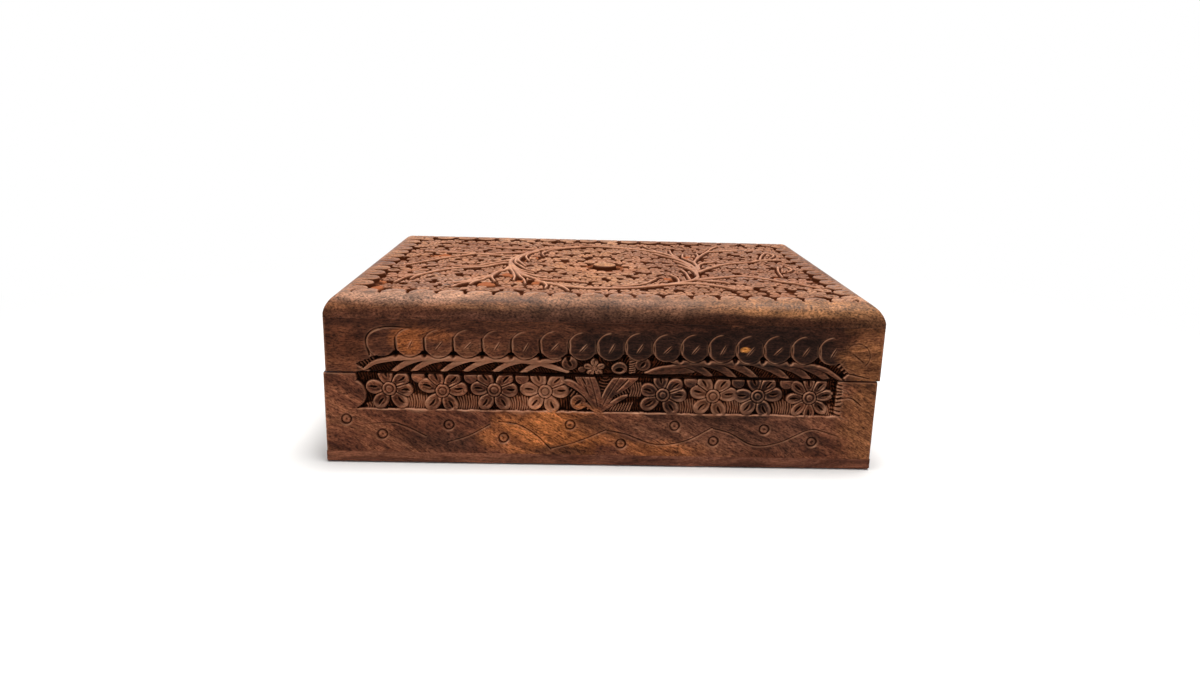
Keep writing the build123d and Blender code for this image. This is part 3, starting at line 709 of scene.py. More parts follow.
def strip_ground(relief, gap, middle):
    """Sink the strip below the discs and comb it, leaning out from its middle both ways."""
    relief.sink(gap, GROUND, 0.4)
    inside = smooth(-gap / 0.8)
    relief.hatch(inside * smooth((middle - relief.U) / 3 + 0.5), 34, 0.95, 1.1)
    relief.hatch(inside * smooth((relief.U - middle) / 3 + 0.5), -30, 0.95, 1.3)


def carve_lid_front(relief):
    gap = relief.region_gap(-91.5, 90.5, lid_z - 3, STRIP_TOP)
    shake = 0.3 * value_noise(relief.U / 0.8, relief.V / 0.8, 44)
    for start, end in STRIP_CORNERS:
        gap = np.maximum(gap, relief.beyond_line(start, end) + shake)
    strip_ground(relief, gap, 4)
    strands(relief, [-76.6, -69.7, -58.9, -50.8, -40.2, -29.9], 1, 1.1, 0.5)
    strands(relief, [38.2, 46.9, 54.8, 66.4, 74.6, 81.6], -1, 1.45)
    trim_strip(relief, -90.5, 88.6)
    relief.stem(LEFT_BRANCH, -0.05, 0.4, 0.5)
    relief.stem(RIGHT_BRANCH, -0.05, 0.4)
    relief.blade((15.5, 35.0), (33.0, 36.6), 1.2, 3.4, -0.3, 0.3)
    relief.bud(-13.1, 39.2, BUD_RADIUS, -62)
    relief.bud(13.6, 39.3, BUD_RADIUS, 58)
    relief.flower(-4.0, 37.4, 3.9, turned(5, 20), -0.25, 0.5, 0.1, 0.3, 0.6)
    relief.disc(5.1, 37.4, 2.7, -0.15, 0.2)
    relief.lens(5.1, 36.8, 4.0, 3.0, 10, 1.5)
    relief.disc(-8.6, 36.6, 1.3, -0.6, 0.3)
    for step in range(7):
        y = lid_z + 0.6 + 1.05 * step
        tooth(relief, (9.0, y), (10.8, y + 0.5), -0.4, 0.26, 0.3)
    for step in range(9):
        across = 79.5 + 1.25 * step
        up = lid_z + 7.6 - 0.12 * step * step * 0.8
        tooth(relief, (across, up), (across + 1.3, up + 1.5), -0.35, 0.28, 0.26)
    for step in range(6):
        across = 1.1 * step
        up = 0.5 * step
        tooth(relief, (-90.0 + across, lid_z + 3.2 + up), (-89.0 + across, lid_z + 1.9 + up), -0.7, 0.25)
    sway = [math.sin(math.pi * k / (FRONT_DISCS - 1)) ** 2 for k in range(FRONT_DISCS)]
    disc_row(relief, [FIRST_DISC + DISC_PITCH * k + shift for k, shift in enumerate(sway)])
    relief.groove([(-85.4, 41.4, 1), (-86.5, 45.5, 1), (-86.2, 48.3, 1), (-84.0, 50.5, 1), (-80.2, 51.8, 0.9),
                   (-76, 52.1, 0.6), (-70, 51.8, 0.3)], 0.8, 0.8)
    relief.ring(92.0, 44.2, 4.8, 0.5, 0.3, -60, 200)
    relief.groove([(90.4, 45.2, 0.7), (94.4, 42.2, 0.9)], 0.7, 0.45)
    relief.groove([(88.6, 37.4, 1), (92, 36.9, 0.9), (97.5, 35.6, 0.4)], 0.7, 0.7)
    relief.groove([(88.2, 40.0, 1), (91.5, 38.6, 0.5)], 0.6, 0.4)
    relief.ring(-93.4, 44.4, 4.6, 0.5, 0.12, 90, 190)


def carve_lid_side(relief):
    end = HALF_Y - END_MARGIN
    strip_ground(relief, relief.region_gap(-end, end, lid_z - 3, STRIP_TOP, 0.2), 0)
    tip = end - 1
    for lean in (-1, 1):
        strands(relief, [-lean * (23 + 9.2 * k) for k in range(5)], lean)
        trim_strip(relief, -end, end)
        relief.stem([(-lean * tip, lid_z + 0.8, 0.5), (-lean * (tip - 5), lid_z + 4.2, 0.85),
                     (-lean * (tip - 14), lid_z + 6.2, 1.0), (-lean * tip * 0.5, lid_z + 6.1, 1.0),
                     (-lean * 22, lid_z + 5.2, 1.0), (-lean * 12.6, lid_z + 1.2, 0.6)])
        relief.bud(-lean * 11.4, lid_z + 4.9, BUD_RADIUS, -lean * 60)
    relief.flower(-3.0, lid_z + 3.5, 3.9, turned(5, 20), -0.2)
    relief.flower(5.0, lid_z + 3.2, 3.5, turned(6, 10), -0.2)
    count = int(2 * tip / DISC_PITCH)
    first = -DISC_PITCH * (count - 1) / 2
    disc_row(relief, [first + DISC_PITCH * k + 0.2 * math.sin(2.1 * k) for k in range(count)])


# ------------------------------------------------------------------ top of the lid
SCALE_RADIUS = 5.2
SCALE_LINE = 8.6           # middle of the scales, in from the box's edge
SCALE_X = HALF_X - SCALE_LINE
SCALE_Y = HALF_Y - SCALE_LINE
BOSS = (1.2, 0.0)
BOSS_RADIUS = 5.0
FLOWER_TRIES = 900         # most flowers, buds and beads on the field
FLOWER_ROOM = 2.9          # smallest radius of a flower, of a bud and of a bare bead
BUD_ROOM = 1.9
BEAD_ROOM = 1.75

# Bare pits between the ridges, orange and dark: middle and radius.
PITS = [(-38, -28, 3.0), (-46, -49, 3.0), (-33, -41, 2.4), (-28, -44, 2.6), (-34, 7, 2.4), (-29, 15, 3.0),
        (-75, 15, 3.2), (-70, 16, 3.0), (-85, -59, 2.6), (-86, -47, 2.6), (42, 23, 3.0), (26, -38, 2.6),
        (27, -30, 2.4), (72, -23, 3.0)]
DARK_PITS = [(38, -10, 3.2), (34, -24, 2.6), (-42, -31, 2.6), (46, 4, 2.6)]

# Ridges of the trees and arches: half width at the start and the end, then points from the lid's middle.
RIDGES = [
    (0.75, 0.75, (-39, -15), (-40, -5), (-40, 7), (-37, 17), (-33, 27), (-29, 34), (-23, 40), (-16, 44),
     (-8, 48), (0, 49), (10, 46), (20, 42), (26, 37), (32, 29), (35, 18), (38, 9), (40, -1), (40, -12),
     (39, -26)),
    (0.45, 0.6, (-26, 18), (-27, 25), (-25, 32), (-22, 37), (-16, 42), (-10, 45)),
    (0.75, 0.45, (-34, 27), (-44, 24), (-53, 20), (-61, 21), (-70, 22), (-81, 24)),
    (0.55, 0.55, (-37, 18), (-42, 16), (-54, 19)),
    (0.7, 0.45, (-59, 19), (-64, 13), (-68, 9), (-76, -2), (-84, -13)),
    (0.7, 0.45, (-40, 6), (-44, 1), (-48, -4), (-55, -12), (-66, -12)),
    (0.7, 0.45, (-42, -2), (-47, -8), (-51, -13), (-62, -18), (-69, -26), (-72, -31), (-75, -37), (-76, -43)),
    (0.6, 0.4, (-68, -23), (-74, -33), (-78, -38), (-81, -50)),
    (0.8, 0.5, (-40, -12), (-41, -19), (-44, -25), (-46, -32), (-49, -37), (-55, -46), (-59, -49)),
    (0.6, 0.5, (-46, -33), (-48, -40), (-51, -46), (-52, -51)),
    (0.6, 0.45, (-50, -42), (-56, -51), (-58, -56)),
    (0.6, 0.45, (-44, -26), (-45, -35), (-43, -44)),
    (0.8, 0.45, (-39, -7), (-37, -17), (-35, -24), (-32, -31), (-28, -37), (-23, -48), (-23, -55)),
    (0.6, 0.45, (-39, -16), (-37, -26), (-36, -34), (-36, -41)),
    (0.6, 0.45, (-36, -22), (-34, -32), (-32, -39), (-31, -47)),
    (0.7, 0.45, (-38, -13), (-35, -21), (-31, -27), (-27, -32), (-23, -34)),
    (0.75, 0.5, (-34, -26), (-29, -35), (-24, -39), (-14, -40), (-8, -42)),
    (0.75, 0.7, (-27, -41), (-18, -49), (-8, -53), (-1, -53), (6, -52), (13, -50), (19, -47), (30, -41),
     (37, -40), (46, -45), (50, -50)),
    (0.6, 0.45, (-20, -47), (-16, -53), (-14, -59)),
    (0.6, 0.4, (3, -50), (10, -47), (16, -42), (21, -32)),
    (0.75, 0.7, (39, -26), (36, -33), (31, -38), (25, -43), (19, -47)),
    (0.8, 0.45, (41, -14), (45, -7), (50, 0), (55, 6), (61, 10), (68, 13), (73, 18), (80, 20), (85, 20)),
    (0.75, 0.45, (41, -11), (42, 0), (42, 10), (45, 21), (48, 30), (52, 40), (55, 49), (59, 57)),
    (0.55, 0.4, (52, 40), (62, 44), (67, 44)),
    (0.6, 0.45, (42, 8), (40, 14), (38, 21), (39, 30)),
    (0.55, 0.4, (44, 19), (46, 28), (46, 35)),
    (0.6, 0.6, (26, 31), (30, 24), (34, 18), (37, 9), (39, -1)),
    (0.55, 0.6, (33, 12), (36, 5), (38, -3), (40, -12)),
    (0.55, 0.7, (34, 1), (37, -6), (39, -14), (39, -22)),
    (0.5, 0.6, (34, -10), (35, -17), (35, -24), (35, -32)),
    (0.5, 0.55, (28, -22), (30, -29), (30, -36), (29, -41)),
    (0.6, 0.45, (42, -8), (43, 2), (46, 8), (50, 10)),
    (0.75, 0.5, (37, -32), (46, -27), (52, -24), (58, -22), (67, -27), (72, -32), (77, -35), (81, -40),
     (85, -45)),
    (0.55, 0.4, (39, -33), (48, -36), (50, -39)),
    (0.55, 0.45, (74, 21), (77, 32), (81, 41), (83, 33), (79, 24)),
    (0.5, 0.45, (82, 4), (83, -4), (80, -10)),
    (0.55, 0.45, (78, 1), (76, -10), (75, -22)),
    (0.55, 0.45, (34, 41), (34, 30), (36, 21)),
    (0.55, 0.45, (22, 55), (24, 47), (27, 38)),
    (0.55, 0.5, (-34, 24), (-36, 16), (-37, 7), (-35, -2), (-33, -9)),
    (0.6, 0.45, (-29, 31), (-33, 23), (-34, 14), (-32, 4)),
    (0.6, 0.45, (-38, 11), (-38, 0), (-35, -9), (-32, -17), (-28, -22)),
    (0.6, 0.45, (-40, 0), (-37, -12), (-34, -19), (-29, -25)),
    (0.55, 0.6, (-53, 41), (-45, 38), (-37, 37), (-30, 35)),
]


def ridge_line(ridge):
    """A ridge as points (x, y, half width), wider where it runs across the lid."""
    first, last, *points = ridge
    run = np.abs(np.gradient(np.array(points, float), axis=0))
    widths = np.linspace(first, last, len(points)) * (1 + 0.45 * run[:, 0] / np.hypot(run[:, 0], run[:, 1]))
    return [(x, y, half) for (x, y), half in zip(points, widths)]


def field_distance(x, y):
    """How far a point of the field is from every ridge, pit and edge."""
    near = np.minimum(SCALE_X - SCALE_RADIUS - np.abs(x), SCALE_Y - SCALE_RADIUS - np.abs(y))
    for middle_x, middle_y, radius in [(*BOSS, 9.0)] + PITS + DARK_PITS:
        near = np.minimum(near, np.hypot(x - middle_x, y - middle_y) - radius)
    for ridge in RIDGES:
        line = curve_through(ridge_line(ridge), 3)
        for a, b in zip(line[:-1], line[1:]):
            far, _ = off_segment(x - a[0], y - a[1], b[0] - a[0], b[1] - a[1])
            near = np.minimum(near, far - a[2])
    return near


def fill_with_flowers(relief):
    """Largest flowers first, wherever the ridges leave room, then buds and beads in what is left."""
    x, y = np.meshgrid(np.arange(-HALF_X, HALF_X, 0.5), np.arange(-HALF_Y, HALF_Y, 0.5))
    room = field_distance(x, y)
    uneven = 0.35 * value_noise(x / 6, y / 6, 77)
    rng = np.random.default_rng(11)
    for _ in range(FLOWER_TRIES):
        spot = np.unravel_index(np.argmax(room + uneven), room.shape)
        radius = min(room[spot] + 0.6, rng.uniform(5.2, 6.6))
        if radius < BEAD_ROOM:
            break
        cx = x[spot]
        cy = y[spot]
        room = np.minimum(room, np.hypot(x - cx, y - cy) - radius - 0.3)
        level = -0.45 - rng.uniform(0, 0.2)
        near_boss = max(0.0, 0.6 - math.hypot(cx - BOSS[0], cy - BOSS[1]) / 45)
        glow = max(near_boss, rng.uniform(-0.5, 0.35))
        if radius > FLOWER_ROOM:
            petals = turned(int(rng.choice((5, 5, 6))), rng.uniform(0, 60))
            relief.flower(cx, cy, radius + 0.2, petals, level, glow, 0.12, 0.0, 0.6, 0.09, 1.12)
        elif radius > BUD_ROOM:
            relief.bud(cx, cy, radius + 0.15, rng.uniform(0, 180))
        else:
            relief.disc(cx, cy, radius, level, 0.2)


def border_scales(relief, plain_lid):
    """A row of slit scales all round the field, their tips over its edge."""
    scales = []
    for across, line, reach in ((True, -SCALE_Y, SCALE_X), (True, SCALE_Y, SCALE_X),
                                (False, -SCALE_X, SCALE_Y), (False, SCALE_X, SCALE_Y)):
        count = round(reach / SCALE_RADIUS)
        step = 2 * reach / count
        for k in range(count):
            along = -reach + step * (k + 0.5) + 0.2 * math.sin(1.7 * k + line)
            scales.append((along, line, True) if across else (line, along, False))
    for x, y, _ in scales:
        relief.disc(x, y, SCALE_RADIUS - 0.2, 0.0, 0.3)
    relief.height = np.maximum(relief.height, plain_lid)
    for x, y, across in scales:
        inward = -math.copysign(90, y) if across else 90 + math.copysign(90, x)
        relief.ring(x, y, SCALE_RADIUS, 0.8, 0.75, inward - 125, 250)
        if across:
            relief.lens(x + SCALE_RADIUS, y - math.copysign(1.4, y), 5.0, 1.5, 62, 1.3)
        else:
            relief.lens(x - math.copysign(1.4, x), y - SCALE_RADIUS, 5.0, 1.5, 28, 1.3)
        relief.lens(x, y, 6.4, 1.3, 50 if across else 40, 0.6)


def carve_top(relief):
    u = relief.U
    v = relief.V
    gap = np.maximum(np.abs(u) - SCALE_X, np.abs(v) - SCALE_Y) + 0.2 * value_noise(u / 2, v / 2, 5)
    relief.sink(gap, FIELD_GROUND, 0.45)
    relief.height += 0.35 * smooth(-gap) * rough_noise(u / 1.6, v / 1.6, 9)
    relief.lying = True
    plain_lid = np.where(gap > 0, 0.0, -FAR_AWAY)
    fill_with_flowers(relief)
    ridges = [ridge_line(ridge) for ridge in RIDGES]
    for points in ridges:
        relief.moat(points, 0.6, 1.5)
    for points in ridges:
        # Ridge crests are lighter: orange tint and painted highlight.
        relief.stem(points, 0.0, 0.4, 0.3, 0.25)
    for x, y, radius in PITS:
        cut, far = relief.near(x, y, radius)
        ragged = 2.2 * value_noise(u[cut] / 2.5, v[cut] / 4, 51)
        inside = smooth((radius - 0.4 - far + ragged) / 0.8)
        low = relief.height[cut] < -0.3
        relief.tint[cut] = np.where(low, np.maximum(relief.tint[cut], inside), relief.tint[cut])
        relief.height[cut] = np.maximum(relief.height[cut], -0.7 - 3 * (1 - inside))
    reach = np.hypot(u - BOSS[0], v - BOSS[1])
    round_boss = smooth((9.6 - reach) / 1.2)
    relief.height = np.maximum(relief.height, -1.4 - 3 * (1 - round_boss))
    relief.disc(*BOSS, BOSS_RADIUS, 0.0, 0.6)
    relief.tint += 0.3 * smooth((19 - reach) / 9) + 0.25 * round_boss
    relief.tint[reach < BOSS_RADIUS + 2.2] = 0
    relief.ring(*BOSS, BOSS_RADIUS + 0.9, 1.8, 0.7)
    border_scales(relief, plain_lid)
    relief.height = blur(relief.height, 0.7)


def round_corners(points):
    """Pull points near the lid's upright corners onto a small quarter circle."""
    middle = np.array([LID_SHIFT, 0.0])
    corner = np.array([HALF_X - ARRIS, HALF_Y - ARRIS])
    out = points[..., :2] - middle
    beyond = np.abs(out) - corner
    far = np.hypot(beyond[..., :1], beyond[..., 1:])
    outside = (beyond > 0).all(axis=-1, keepdims=True) & (far > ARRIS)
    pulled = middle + np.sign(out) * (corner + beyond * (ARRIS / np.where(outside, far, 1)))
    points[..., :2] = np.where(outside, pulled, points[..., :2])


def unroll(line, flat):
    """Place across and drop of points along a line that bends down at both ends of its flat part."""
    turn = np.clip((np.abs(line) - flat) / TOP_ROUND, 0, math.pi / 2)
    across = np.sign(line) * (np.minimum(np.abs(line), flat) + TOP_ROUND * np.sin(turn))
    return across, TOP_ROUND * (1 - np.cos(turn))


def top_board(materials):
    """The lid's top board, with its round edges unrolled into the grid."""
    flat_x = HALF_X - TOP_ROUND
    flat_y = HALF_Y - TOP_ROUND
    ends = [flat + TOP_ROUND * math.pi / 2 for flat in (flat_x, flat_y)]
    relief = Relief(*(np.linspace(-end, end, int(2 * end / TOP_GRID) + 1) for end in ends), 300)
    carve_top(relief)
    relief.tool_marks(0.02)
    relief.height = np.minimum(relief.height - 0.02, 0)
    x, drop_x = unroll(relief.U, flat_x)
    y, drop_y = unroll(relief.V, flat_y)
    drop = np.minimum((drop_x ** 8 + drop_y ** 8) ** 0.125, TOP_ROUND)
    face = np.stack([x + LID_SHIFT, y, top_z - drop], -1)
    normals = np.cross(np.gradient(face, axis=1), np.gradient(face, axis=0))
    normals /= np.linalg.norm(normals, axis=2, keepdims=True) + 1e-12
    fade = smooth((TOP_ROUND * 0.98 - drop) / 1.5)[..., None]
    # A wide, shallow bowl round the boss is in the shape alone: the colours follow the carving.
    reach = np.hypot(relief.U - BOSS[0], relief.V - BOSS[1])
    bowl = 0.9 * smooth((27 - reach) / 17) * smooth((reach - BOSS_RADIUS + 0.3) / 0.9)
    face += normals * (relief.height - bowl)[..., None] * fade
    round_corners(face)

    def loop(z, inset):
        """The outline at a height below the face, drawn in by the inset."""
        around = border_of(face)
        around[:, 0] = LID_SHIFT + (around[:, 0] - LID_SHIFT) * (1 - inset / HALF_X)
        around[:, 1] *= 1 - inset / HALF_Y
        around[:, 2] = z
        return around

    carved_mesh("lid_top_board", relief, face, [loop(rail_z + 0.05, 0), loop(rail_z, 0.4)], materials)


# ------------------------------------------------------------------ materials
class Nodes:
    """The nodes of one shader. An input is a value, another node's output or, in blend, a colour."""

    def __init__(self, tree):
        self.tree = tree
        tree.nodes.clear()

    def add(self, kind, inputs=(), **settings):
        made = self.tree.nodes.new("ShaderNode" + kind)
        for key, value in settings.items():
            setattr(made, key, value)
        for key, value in dict(inputs).items():
            if isinstance(value, bpy.types.NodeSocket):
                self.tree.links.new(value, made.inputs[key])
            else:
                made.inputs[key].default_value = value
        return made

    def calc(self, operation, a, b=0.0, c=0.0, clamp=False):
        return self.add("Math", {0: a, 1: b, 2: c}, operation=operation, use_clamp=clamp).outputs[0]

    def times(self, a, b):
        return self.calc("MULTIPLY", a, b)

    def times_plus(self, a, b, more, clamp=False):
        return self.calc("MULTIPLY_ADD", a, b, more, clamp)

    def vector(self, operation, a, b=(0, 0, 0)):
        return self.add("VectorMath", {0: a, 1: b}, operation=operation)

    def join(self, x, y, z, kind="CombineXYZ"):
        return self.add(kind, {0: x, 1: y, 2: z}).outputs[0]

    def blend(self, factor, a, b, kind="MIX"):
        """From colour a to colour b by the factor."""
        a, b = (color if isinstance(color, bpy.types.NodeSocket) else (*color, 1) for color in (a, b))
        return self.add("Mix", {0: factor, 6: a, 7: b}, data_type="RGBA", blend_type=kind).outputs[2]

    def shade(self, color, grey):
        """A colour made darker or lighter by a grey value."""
        return self.blend(1.0, color, self.join(grey, grey, grey, "CombineColor"), "MULTIPLY")

    def spread(self, value, low, high, to_low=0.0, to_high=1.0):
        inputs = {0: value, 1: low, 2: high, 3: to_low, 4: to_high}
        return self.add("MapRange", inputs, clamp=True).outputs[0]

    def place(self, output="Object"):
        return self.add("TexCoord").outputs[output]

    def away(self, place, centre, radii):
        """Distance from a centre, in units of the radii, both in millimetres."""
        offset = self.vector("SUBTRACT", place, [v * MM for v in centre]).outputs[0]
        scaled = self.vector("MULTIPLY", offset, [1000 / radius for radius in radii]).outputs[0]
        return self.vector("LENGTH", scaled).outputs["Value"]

    def noise(self, place, sizes, offset, detail=2.0, roughness=0.5, distortion=0.0):
        """Noise of the given sizes in millimetres, one along each axis."""
        shifted = self.vector("ADD", place, [v * MM for v in offset]).outputs[0]
        scaled = self.vector("MULTIPLY", shifted, [1000 / size for size in sizes]).outputs[0]
        return self.add("TexNoise", {"Vector": scaled, "Scale": 1.0, "Detail": detail, "Roughness": roughness,
                                     "Distortion": distortion}).outputs["Fac"]

    def ramp(self, value, stops):
        made = self.add("ValToRGB", {0: value})
        elements = made.color_ramp.elements
        for k, (position, color) in enumerate(stops):
            element = elements[k] if k < 2 else elements.new(position)
            element.position = position
            element.color = (*color, 1)
        return made.outputs[0]

    def attribute(self, name):
        return self.add("Attribute", attribute_name=name).outputs["Fac"]

    def bump(self, height, strength, distance):
        return self.add("Bump", {"Height": height, "Strength": strength, "Distance": distance}).outputs[0]

    def seen(self):
        """1 for what the camera sees straight or in a mirror or glass, 0 for light on other things."""
        path = self.add("LightPath").outputs
        direct = self.calc("MAXIMUM", path["Is Camera Ray"], path["Is Transmission Ray"])
        return self.calc("MAXIMUM", direct, path["Is Glossy Ray"])

    def finish(self, shader, kind="Material"):
        self.add("Output" + kind, {0: shader.outputs[0]})


def new_material(name):
    """A new material and its nodes."""
    material = bpy.data.materials.new(name)
    material.use_nodes = True
    return material, Nodes(material.node_tree)


def scaled_color(color, factor):
    return tuple(factor * part for part in color)


PALE_WOOD_AND_HIGHLIGHT = ((0.46, 0.17, 0.085), (0.80, 0.40, 0.24))     # freshly cut wood, also the colour of painted highlights: dark and light streaks
# Sunk ground: dark stain, darker still as painted shade in the recesses.
SUNK_STAIN_AND_SHADE = ((0.016, 0.006, 0.0035), (0.16, 0.042, 0.018))
SUNK_ORANGE = (0.33, 0.092, 0.036)
SUNK_EDGE_WEAR_AND_HIGHLIGHT = ((0.165, 0.040, 0.016), (0.46, 0.15, 0.06))   # crests in the ground, with wear and painted highlight: plain and tinted
DRY_WOOD = (0.30, 0.145, 0.075)
PORE_DARK = (0.022, 0.008, 0.005)
FLAME_SHADE = (0.42, 0.40, 0.42)


def wood(name, grain, seed, stops, lean=0.0, spots=(), ground=SUNK_STAIN_AND_SHADE, gloss=0.44, specular=(0.05, 0.2),
         sunk_tone=0.06, dry=0.0, shadow=0.85, painted_shade_color=(0.008, 0.0032, 0.002), contrast=1.0, patchy=0.0,
         fibre_length=2.4, flames=0.75, ragged=1.6):
    """Oiled rosewood: bands and streaks along the grain axis, fibres, pores, and patches of colour, a few of
    them painted highlight; sunk ground darkens as stain and painted shade, crevices and motif walls take
    painted shade, and edges take wear and painted highlight.
    """
    material, nodes = new_material(name)
    spread, blend, times, times_plus = nodes.spread, nodes.blend, nodes.times, nodes.times_plus
    place = nodes.place()
    turned_place = place
    if lean:
        inputs = {"Vector": place, "Angle": math.radians(lean)}
        turned_place = nodes.add("VectorRotate", inputs, rotation_type="Y_AXIS").outputs[0]
    along, across, up = nodes.add("SeparateXYZ", {0: turned_place}).outputs
    if grain == "y":
        along, across = across, along
    lined = nodes.join(along, across, up)
    offset = (seed * 137.0, seed * 61.0, seed * 29.0)

    def noise(where, sizes, *details):
        return nodes.noise(where, sizes, offset, *details)

    def bent_by(where, size, reach):
        """Coordinates that sway across the grain by up to the reach, in metres."""
        sway = times_plus(noise(where, size), 2 * reach, -reach)
        return nodes.vector("ADD", where, nodes.join(0.0, sway, sway)).outputs[0]

    bent = bent_by(lined, (60, 60, 26), 0.010)
    broad = noise(bent, (75, 22, 12), 3.0, 0.55)
    streak = noise(bent, (38, 4.0, 2.6), 4.0, 0.66, 0.3)
    curly = bent_by(bent, (9, 9, 5), 0.0015)
    fibre = noise(curly, (fibre_length, 0.60, 0.50), 3.0, 0.62)
    pore = spread(noise(curly, (1.3 * fibre_length, 0.38, 0.30), 1.0, 0.5), 0.63, 0.73)
    tone = times_plus(broad, 0.70, times_plus(streak, 0.55, -0.10))
    color = nodes.ramp(tone, stops)
    wobble = noise(bent, (16, 7, 7), 3.0)
    streaked = spread(streak, 0.3, 0.7)
    for centre, radii, patch_color, strength in spots:
        reach = nodes.calc("ADD", nodes.away(place, centre, radii), times_plus(wobble, ragged, -0.5 * ragged))
        patched = blend(streaked, scaled_color(patch_color, 0.6), scaled_color(patch_color, 1.35))
        color = blend(spread(reach, 0.55, 1.15, strength, 0.0), color, patched)

    figure = nodes.noise(bent, (26, 8.5, 4.6), (offset[1], offset[0], offset[2]), 3.0, 0.55, 0.4)
    figure = spread(figure, 0.50, 0.57, 0.0, flames)
    color = blend(figure, color, blend(1.0, color, FLAME_SHADE, "MULTIPLY"))
    if patchy:
        color = nodes.shade(color, spread(noise(place, (6, 6, 6), 1.0), 0.36, 0.64, 1 - patchy, 1 + patchy))
    mottle = noise(lined, (0.9, 0.7, 0.6))
    fibre = times_plus(nodes.calc("SUBTRACT", mottle, 0.5), 0.55, fibre)
    color = nodes.shade(color, spread(fibre, 0.30, 0.72, 1 - 0.46 * contrast, 1 + 0.42 * contrast))
    color = blend(times(pore, 0.7), color, PORE_DARK)

    sunk, painted_shade, edge_wear_and_highlight, tint, pale_cut_and_highlight = map(nodes.attribute, ("sunk", "painted_shade", "edge_wear_and_highlight", "tint", "pale_cut_and_highlight"))
    raw_wood_and_highlight = blend(streaked, *PALE_WOOD_AND_HIGHLIGHT)
    color = blend(times(tint, 0.6), color, raw_wood_and_highlight)
    # Edge wear and painted highlight lighten edges towards pale wood.
    color = blend(times(edge_wear_and_highlight, 0.9), color, raw_wood_and_highlight)
    speckle = noise(lined, (1.5, 1.5, 1.5))
    # Sunk ground colour: dark stain with painted shade, orange where tinted.
    deep = blend(spread(speckle, 0.52, 0.78), *ground)
    deep = blend(times(tint, 0.8), deep, SUNK_ORANGE)
    color = blend(times(sunk, 1 - sunk_tone), color, deep)
    # Crests in the sunk ground: wear and painted highlight.
    color = blend(times(times(edge_wear_and_highlight, sunk), 0.75), color, blend(tint, *SUNK_EDGE_WEAR_AND_HIGHLIGHT))
    # Painted shade in crevices and on the walls of motifs.
    color = blend(times(painted_shade, shadow), color, painted_shade_color)
    # Pale cut lines and painted highlights.
    color = blend(times(pale_cut_and_highlight, 0.8), color, raw_wood_and_highlight)
    if dry:
        color = blend(dry, color, DRY_WOOD)

    worn = noise(lined, (38, 21, 17), 4.0, 0.6)
    rough = times_plus(fibre, 0.16, spread(worn, 0.3, 0.7, gloss - 0.08, gloss + 0.12))
    rough = times_plus(pore, 0.2, times_plus(sunk, 0.28, rough), True)
    facing_up = nodes.add("SeparateXYZ", {0: nodes.place("Normal")}).outputs[2]
    dull = times_plus(nodes.calc("MAXIMUM", sunk, painted_shade), -0.9, 1.0)
    polish = times(spread(facing_up, 0.35, 0.9, *specular), dull)
    bumps = times_plus(pore, -1.0, times(fibre, 0.9))
    bumps = times_plus(speckle, times(sunk, 1.2), bumps)
    nodes.finish(nodes.add("BsdfPrincipled", {
        "Base Color": color,
        "Roughness": rough,
        "Specular IOR Level": polish,
        "Normal": nodes.bump(bumps, 0.55, 0.0002),
    }))
    return material


def metal(name, bright, stain, seed, low, high):
    """Old metal with stains, fine scratches and uneven polish."""
    material, nodes = new_material(name)
    place = nodes.place()
    offset = (seed * 31.0, seed * 17.0, seed * 7.0)
    patches = nodes.noise(place, (3.2, 2.4, 2.4), offset, 5.0, 0.65)
    specks = nodes.noise(place, (0.5, 0.5, 0.5), offset, 3.0)
    lines = nodes.noise(place, (9, 0.14, 0.14), offset)
    amount = nodes.spread(patches, 0.42, 0.68)
    amount = nodes.times_plus(nodes.spread(specks, 0.5, 0.75), 0.35, amount, True)
    rough = nodes.times_plus(lines, 0.16, nodes.spread(amount, 0.0, 1.0, low, high), True)
    nodes.finish(nodes.add("BsdfPrincipled", {
        "Base Color": nodes.blend(amount, bright, stain),
        "Metallic": nodes.spread(amount, 0.0, 1.0, 1.0, 0.45),
        "Roughness": rough,
        "Normal": nodes.bump(nodes.times_plus(lines, 0.5, specks), 0.4, 0.00008),
    }))
    return material


DARK = (0.050, 0.016, 0.009)
BROWN = (0.125, 0.040, 0.021)
WARM = (0.225, 0.075, 0.037)
ORANGE = (0.370, 0.140, 0.065)
STOPS = [(0.30, DARK), (0.44, BROWN), (0.56, WARM), (0.74, ORANGE)]
LID_STOPS = [(position, scaled_color(color, 0.6)) for position, color in STOPS]
TOP_STOPS = [(0.30, (0.090, 0.028, 0.012)), (0.44, (0.180, 0.068, 0.030)), (0.56, (0.285, 0.124, 0.057)),
             (0.74, (0.400, 0.200, 0.102))]
FLAME = (0.62, 0.195, 0.056)
GOLD = (0.27, 0.100, 0.038)
SOOT = (0.022, 0.009, 0.006)
DUSK = (0.090, 0.034, 0.020)
FRONT = -HALF_Y


def front_spots(spots):
    """Patches on the front, each given by x, z, half width, half height, colour and strength."""
    return [((x, FRONT, z), (wide, 40, high), *rest) for x, z, wide, high, *rest in spots]


